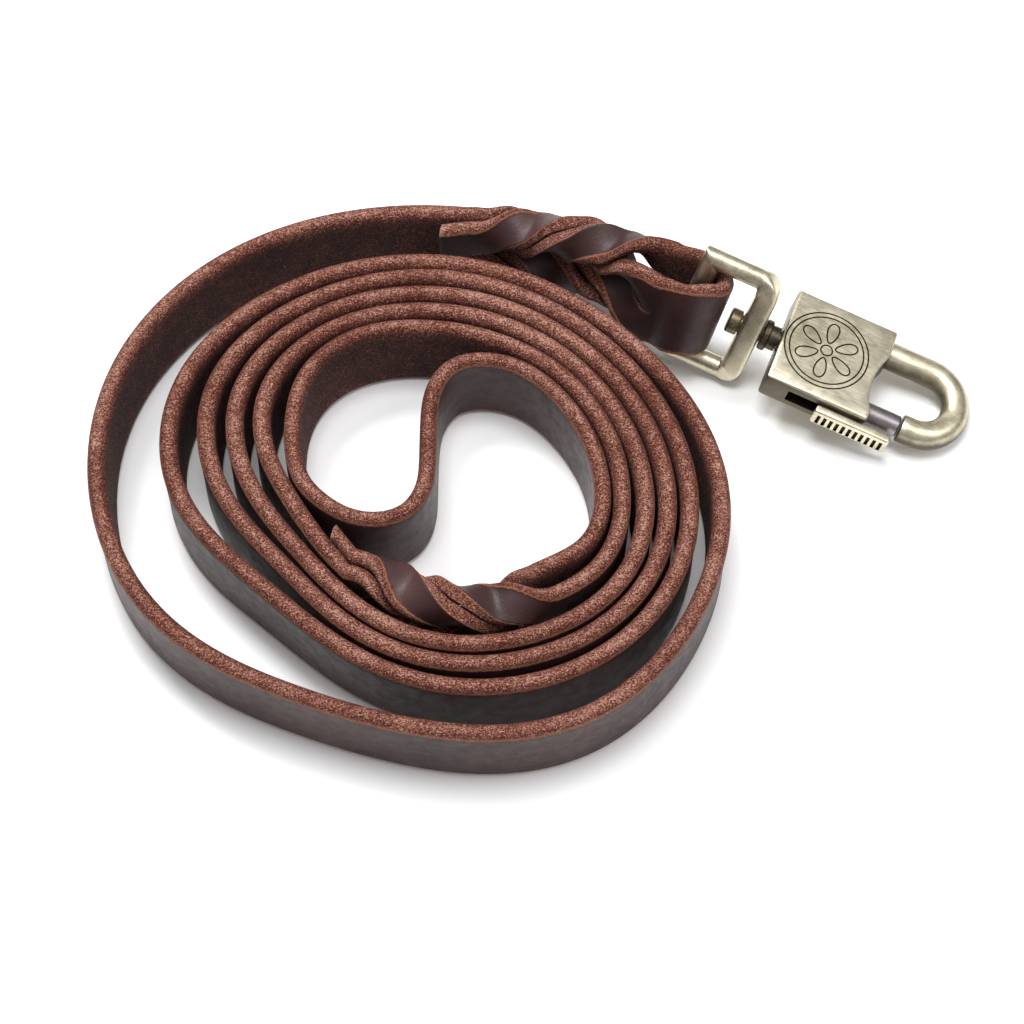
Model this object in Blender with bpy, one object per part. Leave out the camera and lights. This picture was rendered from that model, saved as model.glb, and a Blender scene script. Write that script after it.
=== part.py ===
"""Leather training leash with a locking swivel clasp, coiled up and lying on a table.

One flat leather strap stands on its edge in five turns. Near each end it is slit lengthwise and
braided with its own tail: at the inner end that closes the hand loop, at the outer end it holds
the clasp. The strap is cut into seven nodes, with a thin gap at each cut.

Units are metres. The table is z = 0 and the origin is under the middle of the leash.
"""
import math

import bmesh
import bpy
import numpy as np
from mathutils import Matrix, Vector

MM = 0.001

# Strap
STRAP_WIDTH = 19.0 * MM
STRAP_THICK = 3.5 * MM
CUT_GAP = 0.3 * MM              # between two nodes of the strap, and between layers of a braid
STEP = 4.0 * MM                 # spacing of the cross-sections along the strap

# Coil: the radius of the strap's top edge every 30 degrees, anticlockwise, about COIL_CENTRE.
# The two loose outer turns are given point by point, from 60 degrees on. The turns inside them
# lie tight together: each is the one before it, less the tight pitch.
COIL_CENTRE = np.array([-21.3, -5.9]) * MM
KNOT_ANGLE = 30.0
LOOSE_START = 60.0
LOOSE_RADII = np.array([
    68.6, 68.0, 70.0, 70.3, 66.5, 60.8, 54.1, 55.1, 60.3, 59.7, 57.7,
    53.9, 53.3, 55.0, 56.4, 56.7, 50.9, 41.3, 40.2, 45.0, 50.2, 52.8]) * MM
TIGHT_RADII = np.array([51.5, 49.6, 50.0, 52.2, 53.2, 52.8, 45.5, 37.4, 38.2, 43.3, 48.7, 52.2]) * MM
TIGHT_PITCH = np.array([4.4, 4.1, 4.0, 4.3, 4.3, 5.6, 6.3, 4.6, 4.3, 4.4, 4.7, 4.4]) * MM
COIL_FROM = 83.0                # degrees, where the clip-end braid meets the outermost turn
COIL_TO = 1670.0                # degrees, where the innermost turn meets the hand-loop braid
LEAN = 0.6 * MM                 # how far the bottom edge stands inside the top edge, on average
LEAN_SWING = 1.2 * MM           # how much more that is on the near side, and less opposite
LEAN_MOST = math.radians(-95.0)
LEAN_RADII = (12.0 * MM, 30.0 * MM)     # the lean fades out towards the middle of the coil

# Hand loop: its route from the braid and back to it, top edge
HAND_LOOP = COIL_CENTRE + np.array([
    (25.7, -24.5), (33.3, -19.1), (37.5, -10.2), (38.2, 0.0), (36.4, 9.7), (32.3, 18.7),
    (26.4, 26.4), (18.7, 32.3), (9.7, 36.3), (0.0, 38.2), (-10.1, 37.8), (-19.2, 34.0),
    (-25.4, 26.8), (-27.9, 16.5), (-27.6, 7.6), (-25.3, 0.3), (-21.3, -4.2), (-15.9, -7.5),
    (-9.8, -8.3), (-4.5, -6.1), (-1.3, -0.6), (-0.6, 7.0), (-0.5, 15.4), (0.6, 23.2),
    (4.5, 28.7), (10.3, 30.1), (17.3, 28.4), (23.5, 23.8), (28.5, 17.3), (32.3, 9.5),
    (34.3, 0.0), (33.8, -8.0), (31.0, -13.8), (26.0, -17.8)]) * MM

# Braids: the axis of each as (degrees, radius) about COIL_CENTRE, from the tail's end onwards
HAND_BRAID_AXIS = ((230.0, 24.3), (244.0, 23.3), (258.0, 24.9), (272.0, 27.2), (286.0, 29.4),
                   (300.0, 31.6), (316.0, 33.9))
CLIP_BRAID_AXIS = ((83.0, 66.3), (77.0, 65.9), (67.2, 66.1), (57.8, 66.5), (50.6, 67.2),
                   (45.4, 68.9))
BRAID_TURN = 360.0              # degrees that each pair of strands turns in the braid
STRAND_WIDTH = 8.8 * MM         # half the strap, drawn in a little by the braiding
STRAND_THICK = 3.3 * MM
BRAID_RISE = 2.2 * MM           # how far the braiding lifts the middle of the strap
TAIL_LENGTH = 6.0 * MM          # uncut leather past the braid, at the tail's end
TAIL_AWAY = 1.7 * MM            # how far its cut end stands off the strap beside it
HAND_SPREAD = (0.0, 2.6 * MM)   # how far the standing layer and the tail part at the hand loop
CLIP_SPREAD = (2.7 * MM, 2.7 * MM)

# Clip loop: round the eye's bar, seen from above
CLIP_RISE = 5.8 * MM            # how far the eye lifts the middle of the strap at the braid's end
LOOP_RADIUS = 5.9 * MM          # of the strap's middle
LOOP_CENTRE = (-0.9 * MM, -0.4 * MM)    # from the bar, along the clasp and across it
LOOP_LEAN_SHARE = 0.85          # of the bar's own lean

# Clasp: its own frame has +X along the swivel axis to the hook, +Y across and +Z up out of the
# plate. Its origin is on the swivel axis at the back of the hook's body.
CLASP_ORIGIN = Vector((50.4 * MM, 32.9 * MM, 12.2 * MM))
CLASP_YAW = math.radians(-20.1)
CLASP_PITCH = math.radians(13.0)        # the hook's end slopes down to the table
EYE_ROLL = math.radians(-20.0)          # the eye leans back, turned about the swivel axis

BODY_LENGTH = 22.6 * MM
BODY_WIDTH = 23.4 * MM
BODY_THICK = 7.4 * MM
BODY_BEVEL = 0.9 * MM
NOTCH_MIDDLE = -2.2 * MM        # the round notch in the front edge, towards the bolt
NOTCH_HALF = 7.0 * MM           # half its width
NOTCH_DEPTH = 1.6 * MM
HOOK_DIAMETER = 6.0 * MM
HOOK_OFFSET = 7.8 * MM          # the hook's bar and the bolt, either side of the swivel axis
HOOK_STRAIGHT = 9.4 * MM        # from the body to the bend
TIP_GAP = 7.2 * MM              # from the body to the hook's tip

BOLT_DIAMETER = 4.6 * MM
BOLT_BACK = 12.4 * MM
BOLT_BORE = 5.2 * MM
BORE_BACK = 2.6 * MM
BOLT_TRAVEL = 6.4 * MM
CLEARANCE = 0.3 * MM
SLOT_BACK = 5.6 * MM
SLOT_HEIGHT = 3.4 * MM

THUMB_BACK = 12.0 * MM
THUMB_LENGTH = 16.6 * MM
THUMB_HEIGHT = 4.6 * MM
THUMB_DEPTH = 1.9 * MM
THUMB_WEB = (12.6 * MM, 20.6 * MM)      # from, to
POST_DIAMETER = 2.0 * MM
POST_DEPTH = 3.0 * MM           # of the thumb slide's post in the bolt
RIB_COUNT = 11
RIB_DEPTH = 0.6 * MM

SPRING_WIRE = 0.5 * MM
SPRING_RADIUS = 1.7 * MM
SPRING_TURNS = 5

EYE_FRONT = -4.0 * MM
EYE_LENGTH = 17.8 * MM
EYE_HEIGHT = 28.8 * MM
EYE_BAR = 4.3 * MM              # across the round sides
EYE_PLATE = (4.6 * MM, 6.0 * MM)        # the flat front side: along the axis, across
EYE_CORNER = 3.4 * MM           # radius of the bends in the middle of the bar
EYE_HOLE = 4.4 * MM
RIVET_SHANK = 3.8 * MM
RIVET_HEAD = (5.4 * MM, 2.5 * MM)       # diameter, thickness
RIVET_DEPTH = 1.8 * MM          # of its end in the body
RIVET_HOLE = (4.4 * MM, 2.1 * MM)       # diameter, depth
COLLAR = (6.6 * MM, 3.2 * MM)   # diameter, length

LEATHER = (0.105, 0.045, 0.035, 1.0)
BRASS = (0.42, 0.36, 0.23, 1.0)
DARK_BRASS = (0.12, 0.10, 0.08, 1.0)
STEEL = (0.20, 0.18, 0.19, 1.0)


# ---------------------------------------------------------------- scene and materials

def clear_scene():
    for thing in list(bpy.data.objects):
        bpy.data.objects.remove(thing, do_unlink=True)


def material(name, colour, metallic, roughness):
    made = bpy.data.materials.new(name)
    made.use_nodes = True
    shader = made.node_tree.nodes["Principled BSDF"]
    shader.inputs["Base Color"].default_value = colour
    shader.inputs["Metallic"].default_value = metallic
    shader.inputs["Roughness"].default_value = roughness
    made.diffuse_color = colour
    return made


def object_from(name, bm, finish):
    """Make a named object from a bmesh, with its faces turned outwards."""
    bmesh.ops.recalc_face_normals(bm, faces=bm.faces)
    mesh = bpy.data.meshes.new(name)
    bm.to_mesh(mesh)
    bm.free()
    mesh.shade_smooth()
    mesh.set_sharp_from_angle(angle=math.radians(35.0))
    made = bpy.data.objects.new(name, mesh)
    bpy.context.scene.collection.objects.link(made)
    mesh.materials.append(finish)
    return made


# ---------------------------------------------------------------- curves

def spline(knots, values):
    """The natural cubic spline through the values, as a function of the knots' parameter."""
    knots = np.asarray(knots, float)
    values = np.asarray(values, float).reshape(len(knots), -1)
    span = np.diff(knots)
    count = len(knots)
    matrix = np.eye(count)
    right = np.zeros_like(values)
    for i in range(1, count - 1):
        matrix[i, i - 1:i + 2] = span[i - 1], 2.0 * (span[i - 1] + span[i]), span[i]
        slopes = (values[i + 1] - values[i]) / span[i] - (values[i] - values[i - 1]) / span[i - 1]
        right[i] = 6.0 * slopes
    bend = np.linalg.solve(matrix, right)

    def at(where):
        where = np.atleast_1d(np.asarray(where, float))
        i = np.clip(np.searchsorted(knots, where) - 1, 0, count - 2)
        h = span[i][:, None]
        b = (where[:, None] - knots[i][:, None]) / h
        a = 1.0 - b
        curved = (a ** 3 - a) * bend[i] + (b ** 3 - b) * bend[i + 1]
        return a * values[i] + b * values[i + 1] + curved * h ** 2 / 6.0

    return at


def lengths(points):
    """The distance along a line of points, at each of them."""
    steps = np.linalg.norm(np.diff(points, axis=0), axis=1)
    return np.concatenate([[0.0], np.cumsum(steps)])


def evenly(points, step, trim_start=0.0, trim_end=0.0):
    """The same line with points a step apart, and a little trimmed off its ends."""
    along = lengths(points)
    count = max(2, int(round((along[-1] - trim_start - trim_end) / step)) + 1)
    where = np.linspace(trim_start, along[-1] - trim_end, count)
    return np.stack([np.interp(where, along, points[:, k]) for k in range(points.shape[1])], 1)


def smoothstep(x, low=0.0, high=1.0):
    t = np.clip((np.asarray(x, float) - low) / (high - low), 0.0, 1.0)
    return t * t * (3.0 - 2.0 * t)


def headings(points):
    """Unit directions of travel in plan."""
    flat = np.gradient(points[:, :2], axis=0)
    return flat / np.linalg.norm(flat, axis=1)[:, None]


def left_of(directions):
    """Unit vectors a quarter turn anticlockwise from the directions."""
    return np.stack([-directions[:, 1], directions[:, 0]], 1)


def polar(angle, radius):
    """A point in plan, from degrees and radius about the coil's centre."""
    angle = np.radians(angle)
    return COIL_CENTRE + np.stack([radius * np.cos(angle), radius * np.sin(angle)], -1)


# ---------------------------------------------------------------- the strap's route

def coil_knots():
    """Angles and radii of the whole coil: the loose turns, then the tight ones."""
    radii = list(LOOSE_RADII)
    first_tight = LOOSE_START + KNOT_ANGLE * len(radii)
    count = int(math.ceil((COIL_TO + KNOT_ANGLE - first_tight) / KNOT_ANGLE)) + 1
    for i in range(count):
        turn, place = divmod(i, len(TIGHT_RADII))
        wound = turn + place / len(TIGHT_RADII)
        radii.append(TIGHT_RADII[place] - TIGHT_PITCH[place] * wound)
    return LOOSE_START + KNOT_ANGLE * np.arange(len(radii)), np.array(radii)


def coil_route():
    """The strap's top edge in plan, from the clip-end braid to the hand-loop braid."""
    radius = spline(*coil_knots())
    angles = np.arange(COIL_FROM, COIL_TO + 0.5, 1.0)
    return polar(angles, radius(angles)[:, 0])


def lean_at(points):
    """How far the bottom edge lies from the top edge in plan: towards the coil's centre."""
    out = points[:, :2] - COIL_CENTRE
    radius = np.linalg.norm(out, axis=1)[:, None]
    out = out / np.maximum(radius, MM)
    swing = out[:, 0:1] * math.cos(LEAN_MOST) + out[:, 1:2] * math.sin(LEAN_MOST)
    return -out * (LEAN + LEAN_SWING * swing) * smoothstep(radius, *LEAN_RADII)


def clasp_matrix():
    turn = Matrix.Rotation(CLASP_YAW, 4, "Z") @ Matrix.Rotation(CLASP_PITCH, 4, "Y")
    return Matrix.Translation(CLASP_ORIGIN) @ turn


def eye_matrix():
    return clasp_matrix() @ Matrix.Rotation(EYE_ROLL, 4, "X")


def bar_centre():
    return eye_matrix() @ Vector((EYE_FRONT - EYE_LENGTH + 0.5 * EYE_BAR, 0.0, 0.0))


def bar_direction():
    return (eye_matrix().to_3x3() @ Vector((0.0, 0.0, 1.0))).normalized()


# ---------------------------------------------------------------- strap solids

def section(point, side, lean, middle=None, squared=False):
    """Corners of the strap standing on edge: outer top, outer bottom, inner bottom, inner top.

    The point is on the plane z = STRAP_WIDTH, and the lean is the shift from there to z = 0.
    The strap stands on the table unless the height of its middle is given. Its edges are level
    unless they are squared to the leaning faces.
    """
    half = 0.5 * STRAP_WIDTH / math.hypot(1.0, np.linalg.norm(lean) / STRAP_WIDTH)
    middle = half if middle is None else middle
    across = np.array([side[0], side[1], np.dot(side, lean) / STRAP_WIDTH if squared else 0.0])
    across *= 0.5 * STRAP_THICK / np.linalg.norm(across)
    corners = []
    for edge, z in ((-1.0, middle + half), (-1.0, middle - half),
                    (1.0, middle - half), (1.0, middle + half)):
        plan = point[:2] + lean * (1.0 - z / STRAP_WIDTH)
        corners.append(tuple(np.array([plan[0], plan[1], z]) + edge * across))
    return corners


def add_ring(bm, corners):
    return [bm.verts.new(corner) for corner in corners]


def bridge(bm, ring_a, ring_b):
    count = len(ring_a)
    for i in range(count):
        j = (i + 1) % count
        bm.faces.new((ring_a[i], ring_a[j], ring_b[j], ring_b[i]))


def strip(name, sections, finish):
    """A closed solid through four-cornered cross-sections."""
    bm = bmesh.new()
    rings = [add_ring(bm, corners) for corners in sections]
    for ring_a, ring_b in zip(rings, rings[1:]):
        bridge(bm, ring_a, ring_b)
    bm.faces.new(rings[0])
    bm.faces.new(rings[-1])
    return object_from(name, bm, finish)


def with_middles(corners):
    """Six corners of an uncut section, with the places where the slit starts."""
    top_out, bottom_out, bottom_in, top_in = [np.array(corner) for corner in corners]
    return [top_out, 0.5 * (top_out + bottom_out), bottom_out,
            bottom_in, 0.5 * (bottom_in + top_in), top_in]


def slit_strip(name, before, split, after, finish):
    """A closed solid that is uncut at its ends and two strands in the middle.

    The uncut sections before and after have six corners, and either list may be empty.
    Each split section is an upper and a lower ring of four corners.
    """
    bm = bmesh.new()
    uncut_before = [add_ring(bm, corners) for corners in before]
    uncut_after = [add_ring(bm, corners) for corners in after]
    strands = [[add_ring(bm, pair[k]) for pair in split] for k in (0, 1)]
    for rings in (uncut_before, uncut_after):
        for ring_a, ring_b in zip(rings, rings[1:]):
            bridge(bm, ring_a, ring_b)
    for picked, rings in zip(((0, 1, 4, 5), (1, 2, 3, 4)), strands):
        for ring_a, ring_b in zip(rings, rings[1:]):
            bridge(bm, ring_a, ring_b)
        bridge(bm, [uncut_before[-1][i] for i in picked], rings[0])
        bridge(bm, rings[-1], [uncut_after[0][i] for i in picked])
    bm.faces.new(uncut_before[0])
    bm.faces.new(uncut_after[-1])
    return object_from(name, bm, finish)


def strand_ring(axis, inward, lean, middle, phase, layer, upper):
    """Four corners of one strand of a braid, in the plane across the braid.

    The two strands of a pair lie flesh to flesh and turn about the pair's axis. The lower
    pair mirrors the upper pair. The layer is 1 for the tail and -1 for the standing part.
    """
    cos, sin = math.cos(phase), math.sin(phase)
    half_thick = 0.5 * CUT_GAP + STRAND_THICK
    reach = half_thick * abs(sin) + 0.5 * STRAND_WIDTH * abs(cos)
    height = middle + upper * (reach + 0.5 * CUT_GAP)
    out = np.array([inward[0] * cos, inward[1] * cos, upper * sin])
    across = np.array([-upper * inward[0] * sin, -upper * inward[1] * sin, cos])
    centre = np.array([axis[0], axis[1], height])
    corners = []
    for depth, edge in ((half_thick, 1.0), (half_thick, -1.0),
                        (0.5 * CUT_GAP, -1.0), (0.5 * CUT_GAP, 1.0)):
        corner = centre + out * (layer * depth) + across * (edge * 0.5 * STRAND_WIDTH)
        corner[:2] += lean * (1.0 - corner[2] / STRAP_WIDTH)
        corners.append(corner)
    return corners


def braid(prefix, axis_knots, spread, middle_at, lean_of, squared, finish):
    """Both layers of a braid. Returns the places where its strap goes on, at its open end.

    The axis runs from the tail's cut end to the loop. The spread is how far each layer has
    moved off the axis at the loop, where the two layers part and may be squared.
    """
    knots = np.array(axis_knots) * (1.0, MM)
    path = polar(knots[:, 0], knots[:, 1])
    curve = spline(lengths(path), path)
    axis = evenly(curve(np.linspace(0.0, lengths(path)[-1], 200)), 1.6 * MM)
    share = np.linspace(0.0, 1.0, len(axis))
    inward = left_of(headings(axis))
    if np.dot(inward[0], COIL_CENTRE - axis[0]) < 0.0:
        inward = -inward
    phases = np.radians(BRAID_TURN) * (share - 0.10 * np.sin(2.0 * np.pi * share) / np.pi)
    middle = middle_at(share)
    raised = BRAID_RISE * smoothstep(share, 0.0, 0.08) * smoothstep(1.0 - share, 0.0, 0.08)
    leans = lean_of(axis, share)
    beside_coil = left_of(axis[:1] - COIL_CENTRE)[0]
    beside_coil *= math.copysign(1.0, np.dot(beside_coil, headings(axis)[0]))
    beside_coil /= np.linalg.norm(beside_coil)
    ends = {}
    for layer, word, parting in ((-1.0, "standing", spread[0]), (1.0, "tail", spread[1])):
        def uncut(i, beyond):
            """Six corners of the uncut strap, beyond either end of the braid."""
            away = headings(axis)[i] * beyond
            offset = 0.5 * (CUT_GAP + STRAP_THICK) + (parting if i else 0.0)
            if beyond == -TAIL_LENGTH:
                away = beside_coil * beyond
                offset += TAIL_AWAY
            point = axis[i] + away + inward[i] * (layer * offset)
            return with_middles(section(point, -layer * inward[i], leans[i], middle[i],
                                        squared and i != 0))
        split = []
        for i in range(1, len(axis) - 1):
            moved = axis[i] + inward[i] * (layer * parting * smoothstep(share[i], 0.72, 1.0))
            split.append([strand_ring(moved, inward[i], leans[i], middle[i] + raised[i],
                                      phases[i], layer, upper) for upper in (1.0, -1.0)])
        back = TAIL_LENGTH if layer > 0.0 else 0.5 * CUT_GAP
        before = [uncut(0, -back), uncut(0, 0.0)]
        after = [uncut(-1, 0.0), uncut(-1, 1.0 * MM)]
        slit_strip(f"{prefix}_{word}", before, split, after, finish)
        point = axis[-1] + inward[-1] * layer * (0.5 * (CUT_GAP + STRAP_THICK) + parting)
        ends[word] = point + headings(axis)[-1] * (1.0 * MM + CUT_GAP)
    ends["inward"] = inward[[0, -1]]
    return ends


def coil_and_hand_end(first_side, finish):
    """The five turns, the hand-loop braid and the hand loop.

    The first side is the inward direction of the cut at the clip end.
    """
    half = 0.5 * STRAP_WIDTH
    hand = braid("hand_braid", HAND_BRAID_AXIS, HAND_SPREAD,
                 lambda share: np.full(len(share), half), lambda axis, share: lean_at(axis),
                 False, finish)
    route = np.vstack([hand["standing"], HAND_LOOP[1:-1], hand["tail"]])
    curve = spline(lengths(route), route)
    loop = evenly(curve(np.linspace(0.0, lengths(route)[-1], 600)), 3.0 * MM)
    side = left_of(headings(loop))
    side[0], side[-1] = hand["inward"][1], -hand["inward"][1]
    strip("hand_loop", [section(p, n, b) for p, n, b in zip(loop, side, lean_at(loop))], finish)

    coil = evenly(coil_route(), STEP, CUT_GAP, CUT_GAP)
    side = left_of(headings(coil))
    side[0], side[-1] = first_side, hand["inward"][0]
    leans = lean_at(coil)
    strip("strap_coil", [section(p, n, b) for p, n, b in zip(coil, side, leans)], finish)


def clip_leans(points, share):
    """The lean changes from the coil's to nearly that of the eye's bar, as share goes to 1."""
    along = bar_direction()
    bar_lean = -np.array([along.x, along.y]) / along.z * LOOP_LEAN_SHARE * STRAP_WIDTH
    share = np.asarray(share)[:, None]
    return (1.0 - share) * lean_at(points) + share * bar_lean


def clip_end(finish):
    """The clip-end braid and the loop round the eye's bar. Returns the braid's first side."""
    half = 0.5 * STRAP_WIDTH
    clip = braid("clip_braid", CLIP_BRAID_AXIS, CLIP_SPREAD,
                 lambda share: half + CLIP_RISE * smoothstep(share, 0.05, 1.05),
                 lambda axis, share: clip_leans(axis, 0.5 * smoothstep(share, 0.3, 1.0)),
                 True, finish)
    bar = bar_centre()
    forward = np.array([math.cos(CLASP_YAW), math.sin(CLASP_YAW)])
    across = np.array([-forward[1], forward[0]])
    lean = clip_leans(np.zeros((1, 2)), [1.0])[0]
    centre = np.array([bar.x, bar.y]) - lean * (1.0 - bar.z / STRAP_WIDTH)
    centre = centre + forward * LOOP_CENTRE[0] + across * LOOP_CENTRE[1]
    arc = [centre + LOOP_RADIUS * (forward * math.sin(turn) + across * math.cos(turn))
           for turn in np.radians(np.arange(0.0, 181.0, 30.0))]
    route = np.vstack([clip["standing"], arc, clip["tail"]])
    curve = spline(lengths(route), route)
    loop = evenly(curve(np.linspace(0.0, lengths(route)[-1], 400)), 1.8 * MM)
    side = left_of(headings(loop))
    share = np.linspace(0.0, 1.0, len(loop))
    side[0], side[-1] = -clip["inward"][1], clip["inward"][1]
    round_bar = smoothstep(share, 0.0, 0.35) * smoothstep(1.0 - share, 0.0, 0.35)
    leans = clip_leans(loop, 0.5 + 0.5 * round_bar)
    along = bar_direction()
    from_bar = loop + leans * (1.0 - bar.z / STRAP_WIDTH) - (bar.x, bar.y)
    square = bar.z - (from_bar[:, 0] * along.x + from_bar[:, 1] * along.y) / along.z
    middles = half + CLIP_RISE + (square - half - CLIP_RISE) * round_bar
    strip("clip_loop", [section(*place, squared=True)
                        for place in zip(loop, side, leans, middles)], finish)
    return clip["inward"][0]


# ---------------------------------------------------------------- clasp solids

def lathe(name, profile, matrix, finish, segments=24):
    """A closed solid turned about +X, from (x, radius) points that go once round its section."""
    bm = bmesh.new()
    rings = []
    for x, radius in profile:
        if radius == 0.0:
            rings.append([bm.verts.new((x, 0.0, 0.0))])
            continue
        angles = [2.0 * math.pi * i / segments for i in range(segments)]
        rings.append([bm.verts.new((x, radius * math.cos(a), radius * math.sin(a)))
                      for a in angles])
    pairs = list(zip(rings, rings[1:]))
    if profile[0][1] != 0.0:
        pairs.append((rings[-1], rings[0]))
    for ring_a, ring_b in pairs:
        for i in range(segments):
            j = (i + 1) % segments
            corners = [ring_a[i % len(ring_a)], ring_a[j % len(ring_a)],
                       ring_b[j % len(ring_b)], ring_b[i % len(ring_b)]]
            bm.faces.new(list(dict.fromkeys(corners)))
    made = object_from(name, bm, finish)
    made.matrix_world = matrix
    return made


def rod(name, start, end, diameter, matrix, finish, segments=24):
    """A plain cylinder between two points of the clasp's frame."""
    start, end = Vector(start), Vector(end)
    turn = (end - start).to_track_quat("X", "Z").to_matrix().to_4x4()
    radius = 0.5 * diameter
    reach = (end - start).length
    profile = ((0.0, 0.0), (0.0, radius), (reach, radius), (reach, 0.0))
    return lathe(name, profile, matrix @ Matrix.Translation(start) @ turn, finish, segments)


def block(name, low, high, matrix, finish, bevel=0.0):
    bm = bmesh.new()
    bmesh.ops.create_cube(bm, size=1.0)
    low, high = Vector(low), Vector(high)
    for vert in bm.verts:
        vert.co = Vector((low[k] + (vert.co[k] + 0.5) * (high[k] - low[k]) for k in range(3)))
    made = object_from(name, bm, finish)
    made.matrix_world = matrix
    if bevel:
        add_bevel(made, bevel)
    return made


def add_bevel(made, width, segments=2):
    bevel = made.modifiers.new("bevel", "BEVEL")
    bevel.width = width
    bevel.segments = segments
    bevel.limit_method = "ANGLE"
    bevel.angle_limit = math.radians(40.0)


def join_or_cut(target, tool, operation):
    """Union or difference by a tool object, which is then only a guide."""
    change = target.modifiers.new(operation.lower(), "BOOLEAN")
    change.operation = operation
    change.solver = "EXACT"
    change.object = tool
    tool.hide_render = True
    tool.display_type = "WIRE"


def tube(name, path, radius, matrix, finish, sides=12):
    """A closed round bar along a path of points, with flat ends."""
    bm = bmesh.new()
    points = [Vector(point) for point in path]
    rings = []
    for i, point in enumerate(points):
        ahead = points[min(i + 1, len(points) - 1)] - points[max(i - 1, 0)]
        ahead.normalize()
        flat = ahead.cross(Vector((0.0, 0.0, 1.0))).normalized()
        up = flat.cross(ahead)
        angles = [2.0 * math.pi * k / sides for k in range(sides)]
        rings.append([bm.verts.new(point + radius * (flat * math.cos(a) + up * math.sin(a)))
                      for a in angles])
    for ring_a, ring_b in zip(rings, rings[1:]):
        bridge(bm, ring_a, ring_b)
    bm.faces.new(rings[0])
    bm.faces.new(rings[-1])
    made = object_from(name, bm, finish)
    made.matrix_world = matrix
    return made


def swivel_eye(finish):
    """A rectangular eye: a round bar bent round three sides, and a flat drilled front side."""
    back = EYE_FRONT - EYE_LENGTH + 0.5 * EYE_BAR
    front = EYE_FRONT - 0.5 * EYE_PLATE[0]
    top = 0.5 * (EYE_HEIGHT - EYE_BAR)
    corners = ((back, top, 90.0), (front, top, 0.0), (front, -top, -90.0), (back, -top, -180.0))
    path = []
    for x, z, turn in corners:
        centre_x = x + math.copysign(EYE_CORNER, front - x - 0.5 * MM)
        centre_z = z - math.copysign(EYE_CORNER, z)
        for step in range(5):
            angle = math.radians(turn + 90.0 - 22.5 * step)
            path.append((centre_x + EYE_CORNER * math.cos(angle),
                         centre_z + EYE_CORNER * math.sin(angle), angle))
    bm = bmesh.new()
    rings = []
    sides = 12
    for x, z, angle in path:
        flat = float(smoothstep(x, front - 1.2 * EYE_CORNER, front))
        reach = (0.5 * (EYE_BAR + flat * (EYE_PLATE[0] - EYE_BAR)),
                 0.5 * (EYE_BAR + flat * (EYE_PLATE[1] - EYE_BAR)))
        ring = []
        for k in range(sides):
            turn = 2.0 * math.pi * (k + 0.5) / sides
            square = 1.0 + flat * (1.0 / max(abs(math.cos(turn)), abs(math.sin(turn))) - 1.0)
            inside = reach[0] * math.cos(turn) * square
            ring.append(bm.verts.new((x + inside * math.cos(angle),
                                      reach[1] * math.sin(turn) * square,
                                      z + inside * math.sin(angle))))
        rings.append(ring)
    for ring_a, ring_b in zip(rings, rings[1:] + rings[:1]):
        bridge(bm, ring_a, ring_b)
    made = object_from("swivel_eye", bm, finish)
    made.matrix_world = eye_matrix()
    hole = rod("eye_hole_cutter", (EYE_FRONT - 2.0 * EYE_PLATE[0], 0.0, 0.0),
               (EYE_FRONT + EYE_PLATE[0], 0.0, 0.0), EYE_HOLE, eye_matrix(), finish)
    join_or_cut(made, hole, "DIFFERENCE")


def swivel_rivet(finish):
    shank, head = 0.5 * RIVET_SHANK, 0.5 * RIVET_HEAD[0]
    head_front = EYE_FRONT - EYE_PLATE[0] - CLEARANCE
    head_back = head_front - RIVET_HEAD[1]
    round_off = 0.5 * MM
    profile = ((head_back, 0.0), (head_back, head - round_off), (head_back + round_off, head),
               (head_front, head), (head_front, shank), (RIVET_DEPTH, shank), (RIVET_DEPTH, 0.0))
    lathe("swivel_rivet", profile, clasp_matrix(), finish)


def swivel_collar(finish):
    outer, inner = 0.5 * COLLAR[0], 0.5 * RIVET_HOLE[0]
    start = EYE_FRONT + CLEARANCE
    end = -CLEARANCE
    profile = ((start, inner), (start, outer), (end, outer), (end, inner))
    lathe("swivel_collar", profile, clasp_matrix(), finish)


def hook_path():
    """The middle of the hook's bar, from inside the body round to the tip."""
    bend = BODY_LENGTH + HOOK_STRAIGHT
    path = [(BODY_LENGTH - 4.0 * MM, HOOK_OFFSET, 0.0), (BODY_LENGTH + 0.5 * HOOK_STRAIGHT,
                                                         HOOK_OFFSET, 0.0)]
    for turn in np.radians(np.arange(90.0, -91.0, -15.0)):
        path.append((bend + HOOK_OFFSET * math.cos(turn), HOOK_OFFSET * math.sin(turn), 0.0))
    path.append((BODY_LENGTH + TIP_GAP, -HOOK_OFFSET, 0.0))
    return path


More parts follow.
